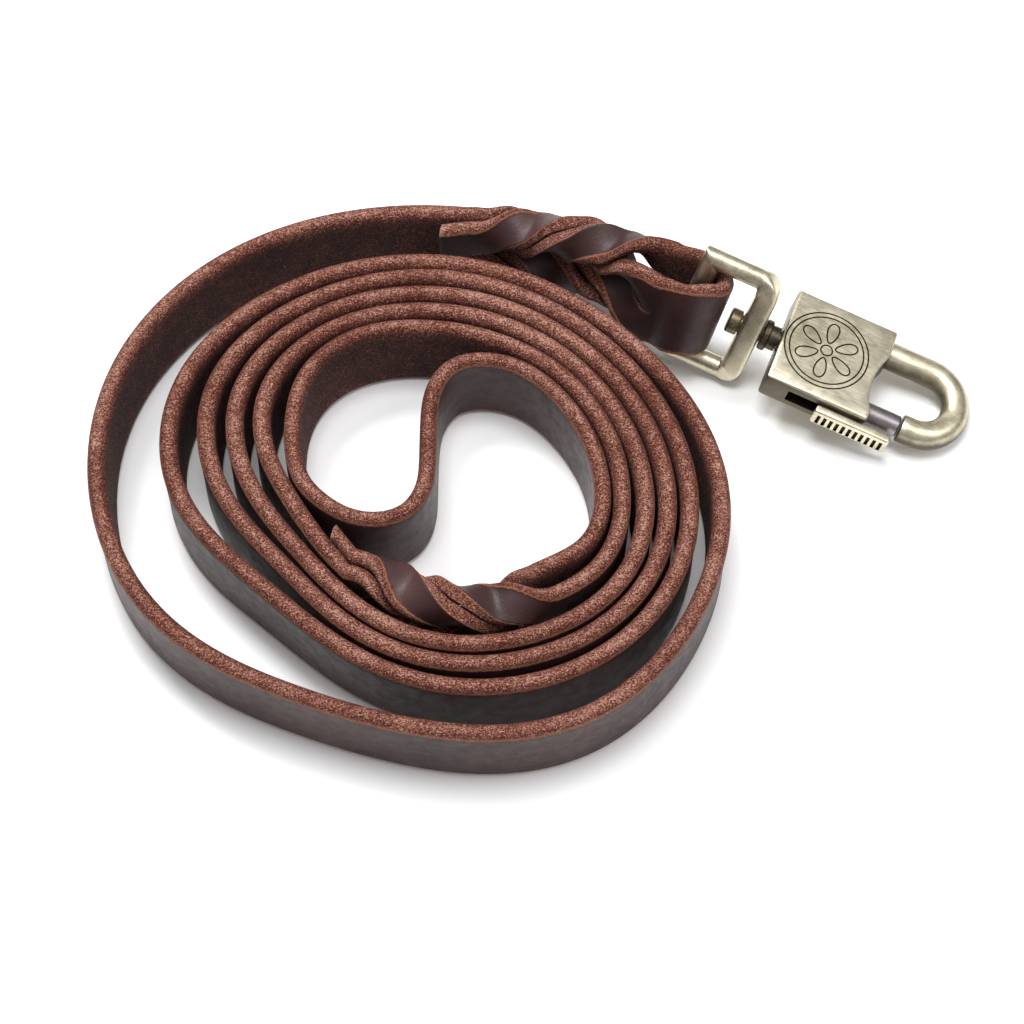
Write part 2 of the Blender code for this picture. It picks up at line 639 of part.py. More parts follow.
def hook_body(finish):
    """The casting: a plate-like body with the bolt's bore, and the hook."""
    here = clasp_matrix()
    half = 0.5 * BODY_WIDTH
    radius = (NOTCH_HALF ** 2 + NOTCH_DEPTH ** 2) / (2.0 * NOTCH_DEPTH)
    centre = BODY_LENGTH - NOTCH_DEPTH + radius
    reach = math.degrees(math.asin(NOTCH_HALF / radius))
    outline = [(0.0, -half), (BODY_LENGTH, -half)]
    for turn in np.radians(np.linspace(-reach, reach, 9)):
        outline.append((centre - radius * math.cos(turn), NOTCH_MIDDLE + radius * math.sin(turn)))
    outline += [(BODY_LENGTH, half), (0.0, half)]
    bm = bmesh.new()
    face = bm.faces.new([bm.verts.new((x, y, -0.5 * BODY_THICK)) for x, y in outline])
    moved = bmesh.ops.extrude_face_region(bm, geom=[face])["geom"]
    bmesh.ops.translate(bm, verts=[v for v in moved if isinstance(v, bmesh.types.BMVert)],
                        vec=(0.0, 0.0, BODY_THICK))
    body = object_from("hook_body", bm, finish)
    body.matrix_world = here
    add_bevel(body, BODY_BEVEL)
    join_or_cut(body, tube("hook_guide", hook_path(), 0.5 * HOOK_DIAMETER, here, finish, 16),
                "UNION")
    bore = rod("bore_cutter", (BORE_BACK, -HOOK_OFFSET, 0.0),
               (BODY_LENGTH + 2.0 * MM, -HOOK_OFFSET, 0.0), BOLT_BORE, here, finish)
    slot = block("slot_cutter", (SLOT_BACK, -half - 2.0 * MM, -0.5 * SLOT_HEIGHT),
                 (BODY_LENGTH + 2.0 * MM, -HOOK_OFFSET, 0.5 * SLOT_HEIGHT), here, finish)
    hole = rod("rivet_hole_cutter", (-2.0 * MM, 0.0, 0.0), (RIVET_HOLE[1], 0.0, 0.0),
               RIVET_HOLE[0], here, finish)
    for cutter in (bore, slot, hole):
        join_or_cut(body, cutter, "DIFFERENCE")


def lock_bolt(finish):
    here = clasp_matrix() @ Matrix.Translation((0.0, -HOOK_OFFSET, 0.0))
    radius, end = 0.5 * BOLT_DIAMETER, BODY_LENGTH + TIP_GAP - CLEARANCE
    chamfer = 0.3 * MM
    profile = ((BOLT_BACK, 0.0), (BOLT_BACK, radius - chamfer), (BOLT_BACK + chamfer, radius),
               (end - chamfer, radius), (end, radius - chamfer), (end, 0.0))
    bolt = lathe("lock_bolt", profile, here, finish)
    middle = 0.5 * sum(THUMB_WEB)
    hole = rod("post_hole_cutter", (middle, -2.0 * radius, 0.0),
               (middle, POST_DEPTH + CLEARANCE - radius, 0.0),
               POST_DIAMETER + 2.0 * CLEARANCE, here, finish, 16)
    join_or_cut(bolt, hole, "DIFFERENCE")


def thumb_slide(finish):
    """The ribbed bar outside the body, its web in the slot and its post in the bolt."""
    here = clasp_matrix()
    inner = -0.5 * BODY_WIDTH - CLEARANCE
    outer = inner - THUMB_DEPTH
    half = 0.5 * THUMB_HEIGHT
    pitch = THUMB_LENGTH / (RIB_COUNT + 1)
    outline = [(THUMB_BACK, inner), (THUMB_BACK, outer + RIB_DEPTH)]
    for i in range(RIB_COUNT):
        middle = THUMB_BACK + pitch * (i + 1)
        outline += [(middle - 0.36 * pitch, outer + RIB_DEPTH), (middle - 0.22 * pitch, outer),
                    (middle + 0.22 * pitch, outer), (middle + 0.36 * pitch, outer + RIB_DEPTH)]
    outline += [(THUMB_BACK + THUMB_LENGTH, outer + RIB_DEPTH), (THUMB_BACK + THUMB_LENGTH, inner)]
    bm = bmesh.new()
    face = bm.faces.new([bm.verts.new((x, y, -half)) for x, y in outline])
    moved = bmesh.ops.extrude_face_region(bm, geom=[face])["geom"]
    bmesh.ops.translate(bm, verts=[v for v in moved if isinstance(v, bmesh.types.BMVert)],
                        vec=(0.0, 0.0, THUMB_HEIGHT))
    slide = object_from("thumb_slide", bm, finish)
    slide.matrix_world = here
    web_half = 0.5 * SLOT_HEIGHT - CLEARANCE
    bolt_side = -HOOK_OFFSET - 0.5 * BOLT_DIAMETER
    web = block("web_guide", (THUMB_WEB[0], inner - 0.5 * MM, -web_half),
                (THUMB_WEB[1], bolt_side - CLEARANCE, web_half), here, finish)
    middle = 0.5 * sum(THUMB_WEB)
    post = rod("post_guide", (middle, inner - 0.5 * MM, 0.0),
               (middle, bolt_side + POST_DEPTH, 0.0), POST_DIAMETER, here, finish, 16)
    join_or_cut(slide, web, "UNION")
    join_or_cut(slide, post, "UNION")


def bolt_spring(finish):
    start, end = BORE_BACK + CLEARANCE, BOLT_BACK - CLEARANCE
    steps = 12
    count = SPRING_TURNS * steps
    rise = end - start - SPRING_WIRE
    path = []
    for i in range(count + 1):
        turn = 2.0 * math.pi * i / steps
        path.append((start + 0.5 * SPRING_WIRE + rise * i / count,
                     SPRING_RADIUS * math.cos(turn) - HOOK_OFFSET, SPRING_RADIUS * math.sin(turn)))
    bm = bmesh.new()
    rings = []
    points = [Vector(point) for point in path]
    axis_y = Vector((0.0, -HOOK_OFFSET, 0.0))
    for i, point in enumerate(points):
        ahead = (points[min(i + 1, count)] - points[max(i - 1, 0)]).normalized()
        out = Vector((0.0, point.y, point.z)) - axis_y
        out.normalize()
        side = ahead.cross(out).normalized()
        ring = []
        for k in range(6):
            a = 2.0 * math.pi * k / 6
            ring.append(bm.verts.new(point + 0.5 * SPRING_WIRE * (out * math.cos(a)
                                                                  + side * math.sin(a))))
        rings.append(ring)
    for ring_a, ring_b in zip(rings, rings[1:]):
        bridge(bm, ring_a, ring_b)
    bm.faces.new(rings[0])
    bm.faces.new(rings[-1])
    made = object_from("bolt_spring", bm, finish)
    made.matrix_world = clasp_matrix()


def build():
    clear_scene()
    leather = material("leather", LEATHER, 0.0, 0.55)
    brass = material("antique_brass", BRASS, 1.0, 0.38)
    dark_brass = material("dark_brass", DARK_BRASS, 1.0, 0.5)
    steel = material("bolt_steel", STEEL, 1.0, 0.35)
    coil_and_hand_end(clip_end(leather), leather)
    swivel_eye(brass)
    swivel_rivet(brass)
    swivel_collar(dark_brass)
    hook_body(brass)
    lock_bolt(steel)
    thumb_slide(brass)
    bolt_spring(steel)


build()
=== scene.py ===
"""The finished look of the leather training leash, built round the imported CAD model.

One leather strap, a single mesh, stands for the seven leather nodes. The clasp's pieces are
finer versions of their CAD nodes. Units are metres, in the model's own frame.
"""
import math

import bmesh
import bpy
import numpy as np
from mathutils import Matrix, Vector


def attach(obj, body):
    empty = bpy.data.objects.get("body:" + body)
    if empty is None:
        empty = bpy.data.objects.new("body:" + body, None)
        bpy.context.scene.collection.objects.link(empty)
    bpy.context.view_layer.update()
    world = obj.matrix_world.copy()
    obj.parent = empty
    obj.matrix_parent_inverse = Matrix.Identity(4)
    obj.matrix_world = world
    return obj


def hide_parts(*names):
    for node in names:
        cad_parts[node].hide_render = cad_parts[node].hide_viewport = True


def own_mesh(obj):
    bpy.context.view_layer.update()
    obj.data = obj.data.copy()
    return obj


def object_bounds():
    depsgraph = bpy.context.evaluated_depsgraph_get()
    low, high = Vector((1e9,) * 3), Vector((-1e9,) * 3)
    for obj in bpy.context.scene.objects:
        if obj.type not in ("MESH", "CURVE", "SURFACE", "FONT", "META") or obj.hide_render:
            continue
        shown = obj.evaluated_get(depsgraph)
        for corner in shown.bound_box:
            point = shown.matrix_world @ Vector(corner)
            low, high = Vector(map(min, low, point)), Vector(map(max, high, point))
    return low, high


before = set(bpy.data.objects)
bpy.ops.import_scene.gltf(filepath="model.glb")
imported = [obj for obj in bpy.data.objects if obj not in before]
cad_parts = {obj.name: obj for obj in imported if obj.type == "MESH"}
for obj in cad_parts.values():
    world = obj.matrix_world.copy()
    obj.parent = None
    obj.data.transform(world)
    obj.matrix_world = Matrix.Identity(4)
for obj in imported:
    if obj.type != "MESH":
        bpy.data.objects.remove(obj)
cad_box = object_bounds()

MM = 0.001

# The strap and its route, as in the CAD model. Places on the coil are an angle round its centre,
# in degrees, and a radius. The braids' axes list both, with the radius in millimetres.
STRAP_WIDTH = 19.0 * MM
STRAP_THICK = 3.5 * MM
LAYER_GAP = 0.3 * MM
COIL_CENTRE = np.array([-21.3, -5.9]) * MM
KNOT_ANGLE = 30.0
LOOSE_START = 60.0
LOOSE_RADII = np.array([
    68.6, 68.0, 70.0, 70.3, 66.5, 60.8, 54.1, 55.1, 60.3, 59.7, 57.7,
    53.9, 53.3, 55.0, 56.4, 56.7, 50.9, 41.3, 40.2, 45.0, 50.2, 52.8]) * MM
TIGHT_RADII = np.array([51.5, 49.6, 50.0, 52.2, 53.2, 52.8, 45.5, 37.4, 38.2, 43.3, 48.7, 52.2]) * MM
TIGHT_PITCH = np.array([4.4, 4.1, 4.0, 4.3, 4.3, 5.6, 6.3, 4.6, 4.3, 4.4, 4.7, 4.4]) * MM
COIL_FROM, COIL_TO, COIL_EVERY = 83.0, 1670.0, 0.5
LEAN, LEAN_SWING, LEAN_MOST = 0.6 * MM, 1.2 * MM, math.radians(-95.0)
LEAN_RADII = (12.0 * MM, 30.0 * MM)
HAND_LOOP = COIL_CENTRE + np.array([
    (25.7, -24.5), (33.3, -19.1), (37.5, -10.2), (38.2, 0.0), (36.4, 9.7), (32.3, 18.7),
    (26.4, 26.4), (18.7, 32.3), (9.7, 36.3), (0.0, 38.2), (-10.1, 37.8), (-19.2, 34.0),
    (-25.4, 26.8), (-27.9, 16.5), (-27.6, 7.6), (-25.3, 0.3), (-21.3, -4.2), (-15.9, -7.5),
    (-9.8, -8.3), (-4.5, -6.1), (-1.3, -0.6), (-0.6, 7.0), (-0.5, 15.4), (0.6, 23.2),
    (4.5, 28.7), (10.3, 30.1), (17.3, 28.4), (23.5, 23.8), (28.5, 17.3), (32.3, 9.5),
    (34.3, 0.0), (33.8, -8.0), (31.0, -13.8), (26.0, -17.8)]) * MM
HAND_BRAID_AXIS = ((230.0, 24.3), (244.0, 23.3), (258.0, 24.9), (272.0, 27.2), (286.0, 29.4),
                   (300.0, 31.6), (316.0, 33.9))
CLIP_BRAID_AXIS = ((83.0, 66.3), (77.0, 65.9), (67.2, 66.1), (57.8, 66.5), (50.6, 67.2),
                   (45.4, 68.9))
BRAID_TURN = 360.0
STRAND_WIDTH = 8.8 * MM
STRAND_THICK = 3.3 * MM
BRAID_RISE = 2.2 * MM
TAIL_LENGTH = 6.0 * MM
TAIL_AWAY = 1.7 * MM
HAND_SPREAD = (0.0, 2.6 * MM)
CLIP_SPREAD = (2.7 * MM, 2.7 * MM)
CLIP_RISE, CLIP_RISE_OVER = 5.8 * MM, (0.05, 1.05)
CLIP_LEAN, CLIP_LEAN_OVER = 0.5, (0.3, 1.0)     # the share of the bar's lean at the braid's end
LOOP_RADIUS = 5.9 * MM
LOOP_CENTRE = (-0.9 * MM, -0.4 * MM)
LOOP_LEAN_SHARE = 0.85
LOOP_EASE = 0.35                # the share of the loop over which it turns square to the bar

# The finer strap: spacing of its cross-sections, and how they are rounded
COIL_STEP = 1.6 * MM
BRAID_STEP = 0.8 * MM
CLIP_LOOP_STEP, HAND_LOOP_STEP = 0.7 * MM, 1.4 * MM
CORNER = 1.70 * MM              # the dressed edges
BULGE = (0.12 * MM, 0.12 * MM)  # how far they stand proud of the grain and of the flesh
BULGE_RINGS = 8                 # sections over which that fades at a braid
CUT_CORNER = 0.7 * MM           # the edges of the slits
GRAIN_FACE = 4                  # a section's points on the grain before its corner
FREE_STEPS, CUT_STEPS = 6, 4    # points round each corner
CROWN = 0.45 * MM               # how far a strand's face bulges
TURN_SOFTNESS = 0.20            # rounds off the strands' path where they change over
RISE_OVER = 0.24                # the share of a braid over which its strands rise
TURN_EASE = 0.16                # the share over which they take up their turn
OPEN_OVER = 0.09                # the share over which they narrow to their own section
PART_FROM = 0.72                # the share from which the two layers part
CREST_HIGHLIGHT = 0.075              # how much lighter the crest of an edge is painted: a painted highlight along the bead
CUT_END = 1.8                   # how much lighter the cut ends are made, in crests

# The clasp, as in the CAD model apart from its finer corners
CLASP_ORIGIN = Vector((50.4 * MM, 32.9 * MM, 12.2 * MM))
CLASP_YAW = math.radians(-20.1)
CLASP_PITCH = math.radians(13.0)
EYE_ROLL = math.radians(-20.0)
BODY_LENGTH, BODY_WIDTH, BODY_THICK = 22.6 * MM, 23.4 * MM, 7.4 * MM
NOTCH_MIDDLE, NOTCH_HALF, NOTCH_DEPTH = -2.2 * MM, 7.0 * MM, 1.6 * MM
HOOK_DIAMETER, HOOK_OFFSET, HOOK_STRAIGHT = 6.0 * MM, 7.8 * MM, 9.4 * MM
HOOK_ROOT = 4.0 * MM            # how far the hook's bar runs into the body
TIP_GAP, TIP_ROUND = 7.2 * MM, (0.35 * MM, 0.1 * MM)
BOLT_DIAMETER, BOLT_BACK, BOLT_BORE, BORE_BACK = 4.6 * MM, 12.4 * MM, 5.2 * MM, 2.6 * MM
CLEARANCE = 0.3 * MM
SPRING_WIRE, SPRING_RADIUS, SPRING_TURNS = 0.5 * MM, 1.7 * MM, 5
SLOT_BACK, SLOT_HEIGHT = 5.6 * MM, 3.4 * MM
THUMB_BACK, THUMB_LENGTH, THUMB_HEIGHT, THUMB_DEPTH = 12.0 * MM, 16.6 * MM, 4.6 * MM, 1.9 * MM
THUMB_WEB = (12.6 * MM, 20.6 * MM)
WEB_SUNK = (0.5 * MM, 0.2 * MM)     # how far the web runs into the slide and the bolt
RIB_COUNT, RIB_DEPTH = 11, 0.45 * MM
POCKET_HALF = 0.27                  # half a pocket between ribs, as a share of their pitch
RIB_RIMS = (0.55 * MM, 1.15 * MM)   # the plain rims below and above the ribs
EYE_FRONT, EYE_LENGTH, EYE_HEIGHT = -4.0 * MM, 17.8 * MM, 28.8 * MM
EYE_BAR, EYE_PLATE, EYE_CORNER, EYE_HOLE = 4.3 * MM, (4.6 * MM, 6.0 * MM), 5.2 * MM, 4.4 * MM
EYE_MITRE, EYE_INNER = 0.5 * MM, 0.3 * MM       # its outer corners at the back, and inner ones
RIVET_SHANK, RIVET_HEAD, RIVET_DEPTH = 3.8 * MM, (5.4 * MM, 2.5 * MM), 1.8 * MM
RIVET_HOLE = (4.4 * MM, 2.1 * MM)
COLLAR = (6.6 * MM, 3.2 * MM)
BODY_EDGE = 0.75 * MM           # the rounding of the body's edges
SPRING_SIDES = 10
OVERCUT = 2.0 * MM              # how far a cutter reaches past what it cuts

# The engraving: a ring of petals, in the body's plate
ROSETTE_CENTRE = 9.7 * MM       # from the body's back
ROSETTE_RADII = (9.05 * MM, 8.0 * MM, 1.25 * MM)
PETALS, PETAL_HALF = 6, 1.55 * MM
PETAL_FROM, PETAL_TO = 1.95 * MM, 6.9 * MM
LINE_WIDTH, LINE_DEPTH = 0.34 * MM, 0.16 * MM

# Shading angles, in degrees
SMOOTH_ANGLE, BEVEL_ANGLE = 35.0, 40.0

# Camera and light
CAMERA_TARGET, CAMERA_DISTANCE, CAMERA_RISE = (-0.0050, -0.0015, 0.0), 0.6127, 58.0
LENS, SENSOR = 105.0, 36.0
WORLD_LIGHT = 0.60
DOME = (0.22, 1.0)              # the dome's grey at the horizon and overhead
LIGHTS = (
    ("key", (-0.35, 0.50, 0.95), 0.35, 9.0),
    ("fill", (0.70, -0.20, 0.80), 0.60, 3.0),
    ("top", (0.0, 0.05, 1.20), 0.45, 9.0))
FLOOR_REACH = 4.0

LEATHER_NODES = ("strap_coil", "hand_braid_standing", "hand_braid_tail", "hand_loop",
                 "clip_braid_standing", "clip_braid_tail", "clip_loop")


# ---------------------------------------------------------------- routes, as in the CAD model

def spline(knots, values):
    """A natural cubic curve through values at the knots, as a function of the knot axis."""
    knots = np.asarray(knots, float)
    values = np.asarray(values, float).reshape(len(knots), -1)
    gaps = np.diff(knots)
    count = len(knots)
    system = np.eye(count)
    right = np.zeros_like(values)
    for i in range(1, count - 1):
        system[i, i - 1:i + 2] = gaps[i - 1], 2.0 * (gaps[i - 1] + gaps[i]), gaps[i]
        right[i] = 6.0 * ((values[i + 1] - values[i]) / gaps[i]
                          - (values[i] - values[i - 1]) / gaps[i - 1])
    bends = np.linalg.solve(system, right)

    def at(where):
        where = np.atleast_1d(np.asarray(where, float))
        i = np.clip(np.searchsorted(knots, where, side="right") - 1, 0, count - 2)
        h = gaps[i][:, None]
        b = ((where - knots[i]) / gaps[i])[:, None]
        a = 1.0 - b
        curved = (a ** 3 - a) * bends[i] + (b ** 3 - b) * bends[i + 1]
        return a * values[i] + b * values[i + 1] + curved * h ** 2 / 6.0

    return at


def lengths(points):
    steps = np.linalg.norm(np.diff(points, axis=0), axis=1)
    return np.concatenate([[0.0], np.cumsum(steps)])


def evenly(points, step):
    along = lengths(points)
    count = max(2, int(round(along[-1] / step)) + 1)
    where = np.linspace(0.0, along[-1], count)
    return np.stack([np.interp(where, along, points[:, k]) for k in range(points.shape[1])], 1)


def smoothstep(x, low=0.0, high=1.0):
    t = np.clip((np.asarray(x, float) - low) / (high - low), 0.0, 1.0)
    return t * t * (3.0 - 2.0 * t)


def headings(points):
    flat = np.gradient(points[:, :2], axis=0)
    return flat / np.linalg.norm(flat, axis=1)[:, None]


def left_of(directions):
    return np.stack([-directions[:, 1], directions[:, 0]], 1)


def polar(angle, radius):
    angle = np.radians(angle)
    return COIL_CENTRE + np.stack([radius * np.cos(angle), radius * np.sin(angle)], -1)


def coil_route():
    radii = list(LOOSE_RADII)
    first_tight = LOOSE_START + KNOT_ANGLE * len(radii)
    count = int(math.ceil((COIL_TO + KNOT_ANGLE - first_tight) / KNOT_ANGLE)) + 1
    for i in range(count):
        turn, place = divmod(i, len(TIGHT_RADII))
        wound = turn + place / len(TIGHT_RADII)
        radii.append(TIGHT_RADII[place] - TIGHT_PITCH[place] * wound)
    radius = spline(LOOSE_START + KNOT_ANGLE * np.arange(len(radii)), radii)
    angles = np.arange(COIL_FROM, COIL_TO + COIL_EVERY, COIL_EVERY)
    return polar(angles, radius(angles)[:, 0])


def lean_at(points):
    out = points[:, :2] - COIL_CENTRE
    radius = np.linalg.norm(out, axis=1)[:, None]
    out = out / np.maximum(radius, MM)
    swing = out[:, 0:1] * math.cos(LEAN_MOST) + out[:, 1:2] * math.sin(LEAN_MOST)
    return -out * (LEAN + LEAN_SWING * swing) * smoothstep(radius, *LEAN_RADII)


def clasp_matrix():
    turn = Matrix.Rotation(CLASP_YAW, 4, "Z") @ Matrix.Rotation(CLASP_PITCH, 4, "Y")
    return Matrix.Translation(CLASP_ORIGIN) @ turn


def eye_matrix():
    return clasp_matrix() @ Matrix.Rotation(EYE_ROLL, 4, "X")


def bar_centre():
    return eye_matrix() @ Vector((EYE_FRONT - EYE_LENGTH + 0.5 * EYE_BAR, 0.0, 0.0))


def bar_direction():
    return (eye_matrix().to_3x3() @ Vector((0.0, 0.0, 1.0))).normalized()


def clip_leans(points, share):
    along = bar_direction()
    bar_lean = -np.array([along.x, along.y]) / along.z * LOOP_LEAN_SHARE * STRAP_WIDTH
    share = np.asarray(share)[:, None]
    return (1.0 - share) * lean_at(points) + share * bar_lean


# ---------------------------------------------------------------- the strap's cross-sections

def corner_points(centre, radius, start, steps):
    """Points a quarter turn clockwise round a corner, from the start angle in degrees."""
    angles = np.radians(start - np.linspace(0.0, 90.0, steps))
    return [(centre[0] + radius * math.cos(a), centre[1] + radius * math.sin(a)) for a in angles]


def half_profile(bulge=0.0):
    """Half of an uncut section, as (depth, height), from the grain's middle over the free
    edge to the middle of the flesh side. Depth is negative on the grain side."""
    t, w = 0.5 * STRAP_THICK, 0.5 * STRAP_WIDTH
    grain, flesh = (bulge * proud for proud in BULGE)
    profile = [(-t, 0.0), (-t, CUT_CORNER), (-t, 0.36 * w), (-t - 0.45 * grain, 0.68 * w)]
    profile += corner_points((-t - grain + CORNER, w - CORNER), CORNER, 180.0, FREE_STEPS)
    profile += corner_points((t + flesh - CORNER, w - CORNER), CORNER, 90.0, FREE_STEPS)
    profile += [(t + 0.3 * flesh, 0.5 * w), (t, CUT_CORNER), (t, 0.0)]
    return np.array(profile)


def strand_profile(width, thick, crown):
    """A strand's section in the same order, then across the cut face back to the start."""
    t, w = thick, 0.5 * width
    cut = 0.999 * CUT_CORNER
    low = corner_points((-t + cut, -w + cut), cut, -90.0, CUT_STEPS)
    high = corner_points((-cut, -w + cut), cut, 0.0, CUT_STEPS)
    profile = [low[-2], low[-1], (-t - crown, -0.3 * w), (-t - crown, 0.35 * w)]
    free = min(CORNER, 0.48 * t)
    profile += corner_points((-t + free, w - free), free, 180.0, FREE_STEPS)
    profile += corner_points((-free, w - free), free, 90.0, FREE_STEPS)
    profile += [(0.0, 0.0), high[0], high[1], high[2], high[3], low[0], low[1]]
    return np.array(profile)


def profile_shares(count_all):
    """How much each point of a profile is on the grain, on the flesh side, and on the crest
    of the free edge."""
    grain, flesh, crest = np.zeros(count_all), np.zeros(count_all), np.zeros(count_all)
    grain[:GRAIN_FACE + 3] = (1.0,) * GRAIN_FACE + (0.75, 0.35, 0.1)
    last = GRAIN_FACE + 2 * FREE_STEPS
    # The flesh share also runs part way round the edge's inner corner: painted shade on that flank
    # of the bead.
    flesh[last - 4:last + 2] = (0.12, 0.22, 0.31, 0.38, 1.0, 1.0)
    # The crest share marks the middle of the free edge, where a painted highlight is laid.
    middle = GRAIN_FACE + FREE_STEPS
    crest[middle - 3:middle + 3] = (0.3, 0.75, 1.0, 1.0, 0.75, 0.3)
    crest[last + 1:] = 0.6
    return grain, flesh, crest


# ---------------------------------------------------------------- rings, and the strap's mesh

def circle(count):
    """Evenly spaced angles all the way round, in radians."""
    return [2.0 * math.pi * i / count for i in range(count)]


def bridge(bm, rings, capped=False):
    """Faces between each ring of vertices and the next, and over the two ends if asked."""
    for ring_a, ring_b in zip(rings, rings[1:]):
        for i in range(len(ring_a)):
            j = (i + 1) % len(ring_a)
            bm.faces.new((ring_a[i], ring_a[j], ring_b[j], ring_b[i]))
    if capped:
        bm.faces.new(rings[0])
        bm.faces.new(rings[-1])


def uncut_half(point, side, up, upper, bulge):
    """Half an uncut section in space, as a list of positions."""
    return [point + side * d + up * (h * upper) for d, h in half_profile(bulge)]


def strap_frame(point, side, lean, middle=None, squared=False):
    """(middle of the section, direction to the flesh, direction up the strap's width)."""
    tilt = math.hypot(1.0, np.linalg.norm(lean) / STRAP_WIDTH)
    middle = 0.5 * STRAP_WIDTH / tilt if middle is None else middle
    plan = point[:2] + lean * (1.0 - middle / STRAP_WIDTH)
    up = np.array([-lean[0] / STRAP_WIDTH, -lean[1] / STRAP_WIDTH, 1.0]) / tilt
    rise = np.dot(side, lean) / STRAP_WIDTH if squared else 0.0
    flesh = np.array([side[0], side[1], rise])
    return np.array([plan[0], plan[1], middle]), flesh / np.linalg.norm(flesh), up


class StrapMesh:
    """Makes rings of vertices that say how much each is on the grain, flesh side and crest."""

    def __init__(self):
        self.bm = bmesh.new()
        self.layers = [self.bm.verts.layers.float.new(name) for name in ("grain", "flesh", "crest")]

    def verts(self, positions, *shares):
        made = []
        for position, *values in zip(positions, *shares):
            vert = self.bm.verts.new(position)
            for layer, value in zip(self.layers, values):
                vert[layer] = value
            made.append(vert)
        return made

    def uncut(self, place, bulge):
        """A whole section: the upper half from the grain's middle to the flesh's, then back."""
        point, side, up = place
        upper = uncut_half(point, side, up, 1.0, bulge)
        lower = uncut_half(point, side, up, -1.0, bulge)
        grain, flesh, crest = profile_shares(len(upper))
        flesh[-1], crest[-2:] = 1.0, 0.0
        shares = [np.append(share, share[-2:0:-1]) for share in (grain, flesh, crest)]
        return self.verts(upper + lower[-2:0:-1], *shares)

    def halves(self, ring):
        """The two rings that the strands start from, with four new points on the crotch."""
        count = len(half_profile())
        first, last = ring[0], ring[count - 1]
        line = [last.co.lerp(first.co, f) for f in (0.15, 0.35, 0.65, 0.85)]
        crotch = self.verts(line, [0.0] * 4, [0.0] * 4, [0.0] * 4)
        upper = ring[:count] + crotch
        lower = [ring[0]] + ring[:count - 2:-1] + crotch
        return upper, lower

    def strand(self, centre, out, across, width, thick, crown):
        """One strand's ring. Out is towards its grain, across towards its free edge."""
        profile = strand_profile(width, thick, crown)
        positions = [centre - out * d + across * h for d, h in profile]
        grain, flesh, crest = profile_shares(len(profile))
        grain[-1] = 0.5
        return self.verts(positions, grain, flesh, crest)


def braid_layers(axis_knots, spread, middle_at, lean_of, squared):
    """What the stretches of a braid are built from: its stations, and its open ends."""
    knots = np.array(axis_knots) * (1.0, MM)
    path = polar(knots[:, 0], knots[:, 1])
    curve = spline(lengths(path), path)
    axis = evenly(curve(np.linspace(0.0, lengths(path)[-1], 400)), BRAID_STEP)
    share = np.linspace(0.0, 1.0, len(axis))
    inward = left_of(headings(axis))
    if np.dot(inward[0], COIL_CENTRE - axis[0]) < 0.0:
        inward = -inward
    pace = smoothstep(share, 0.0, TURN_EASE) * smoothstep(1.0 - share, 0.0, TURN_EASE)
    turned = np.cumsum(pace) - 0.5 * pace
    phases = np.radians(BRAID_TURN) * turned / turned[-1]
    middle = middle_at(share)
    raised = BRAID_RISE * smoothstep(share, 0.0, RISE_OVER) * smoothstep(1.0 - share, 0.0, RISE_OVER)
    leans = lean_of(axis, share)
    opened = smoothstep(share, 0.0, OPEN_OVER) * smoothstep(1.0 - share, 0.0, OPEN_OVER)
    beside = left_of(axis[:1] - COIL_CENTRE)[0]
    beside *= math.copysign(1.0, np.dot(beside, headings(axis)[0])) / np.linalg.norm(beside)
    layers = {}
    for layer, word, parting in ((-1.0, "standing", spread[0]), (1.0, "tail", spread[1])):
        offset = 0.5 * (LAYER_GAP + STRAP_THICK)
        ends = []
        for i, extra in ((0, 0.0), (-1, parting)):
            point = axis[i] + inward[i] * (layer * (offset + extra))
            ends.append(strap_frame(point, -layer * inward[i], leans[i], middle[i],
                                    squared and i != 0))
        strands = []
        for i in range(1, len(axis) - 1):
            parted = layer * parting * float(smoothstep(share[i], PART_FROM, 1.0))
            moved = axis[i] + inward[i] * parted
            pair = []
            for upper in (1.0, -1.0):
                cos, sin = math.cos(phases[i]), math.sin(phases[i])
                width = STRAP_WIDTH * 0.5 + (STRAND_WIDTH - STRAP_WIDTH * 0.5) * opened[i]
                thick = STRAP_THICK + (STRAND_THICK - STRAP_THICK) * opened[i]
                gap = 0.5 * LAYER_GAP
                soft = TURN_SOFTNESS * opened[i]
                reach = ((gap + thick) * math.hypot(sin, soft)
                         + 0.5 * width * math.hypot(cos, soft))
                height = middle[i] + raised[i] + upper * (reach + gap * opened[i])
                out = np.array([inward[i][0] * cos, inward[i][1] * cos, upper * sin]) * layer
                across = np.array([-upper * inward[i][0] * sin, -upper * inward[i][1] * sin, cos])
                centre = np.array([moved[0], moved[1], height])
                pair.append((centre + out * gap, out, across * upper, width, thick,
                             CROWN * opened[i], leans[i]))
            strands.append(pair)
        tail = axis[0] - beside * TAIL_LENGTH + inward[0] * (layer * (offset + TAIL_AWAY))
        start = axis[0] + inward[0] * (layer * offset)
        layers[word] = {
            "ends": ends, "strands": strands,
            "open": axis[-1] + inward[-1] * (layer * (offset + parting)),
            "tail": [strap_frame(start + (tail - start) * f, -layer * inward[0], leans[0], middle[0])
                     for f in (1.0, 0.8, 0.6, 0.4, 0.2)]}
    layers["heading"] = headings(axis)[-1]
    layers["inward"] = inward[[0, -1]]
    return layers


def add_slit(mesh, before, layer, after, back):
    """Both strands of a layer between two uncut rings. Back means from the loop to the tail."""
    stations = list(layer["strands"])
    if back:
        stations.reverse()
    starts, finishes = mesh.halves(before), mesh.halves(after)
    for k in (0, 1):
        rings = []
        for pair in stations:
            *section, lean = pair[k]
            ring = mesh.strand(*section)
            for vert in ring:
                shift = lean * (1.0 - vert.co.z / STRAP_WIDTH)
                vert.co.x += shift[0]
                vert.co.y += shift[1]
            rings.append(ring)
        bridge(mesh.bm, [starts[k]] + rings + [finishes[k]])


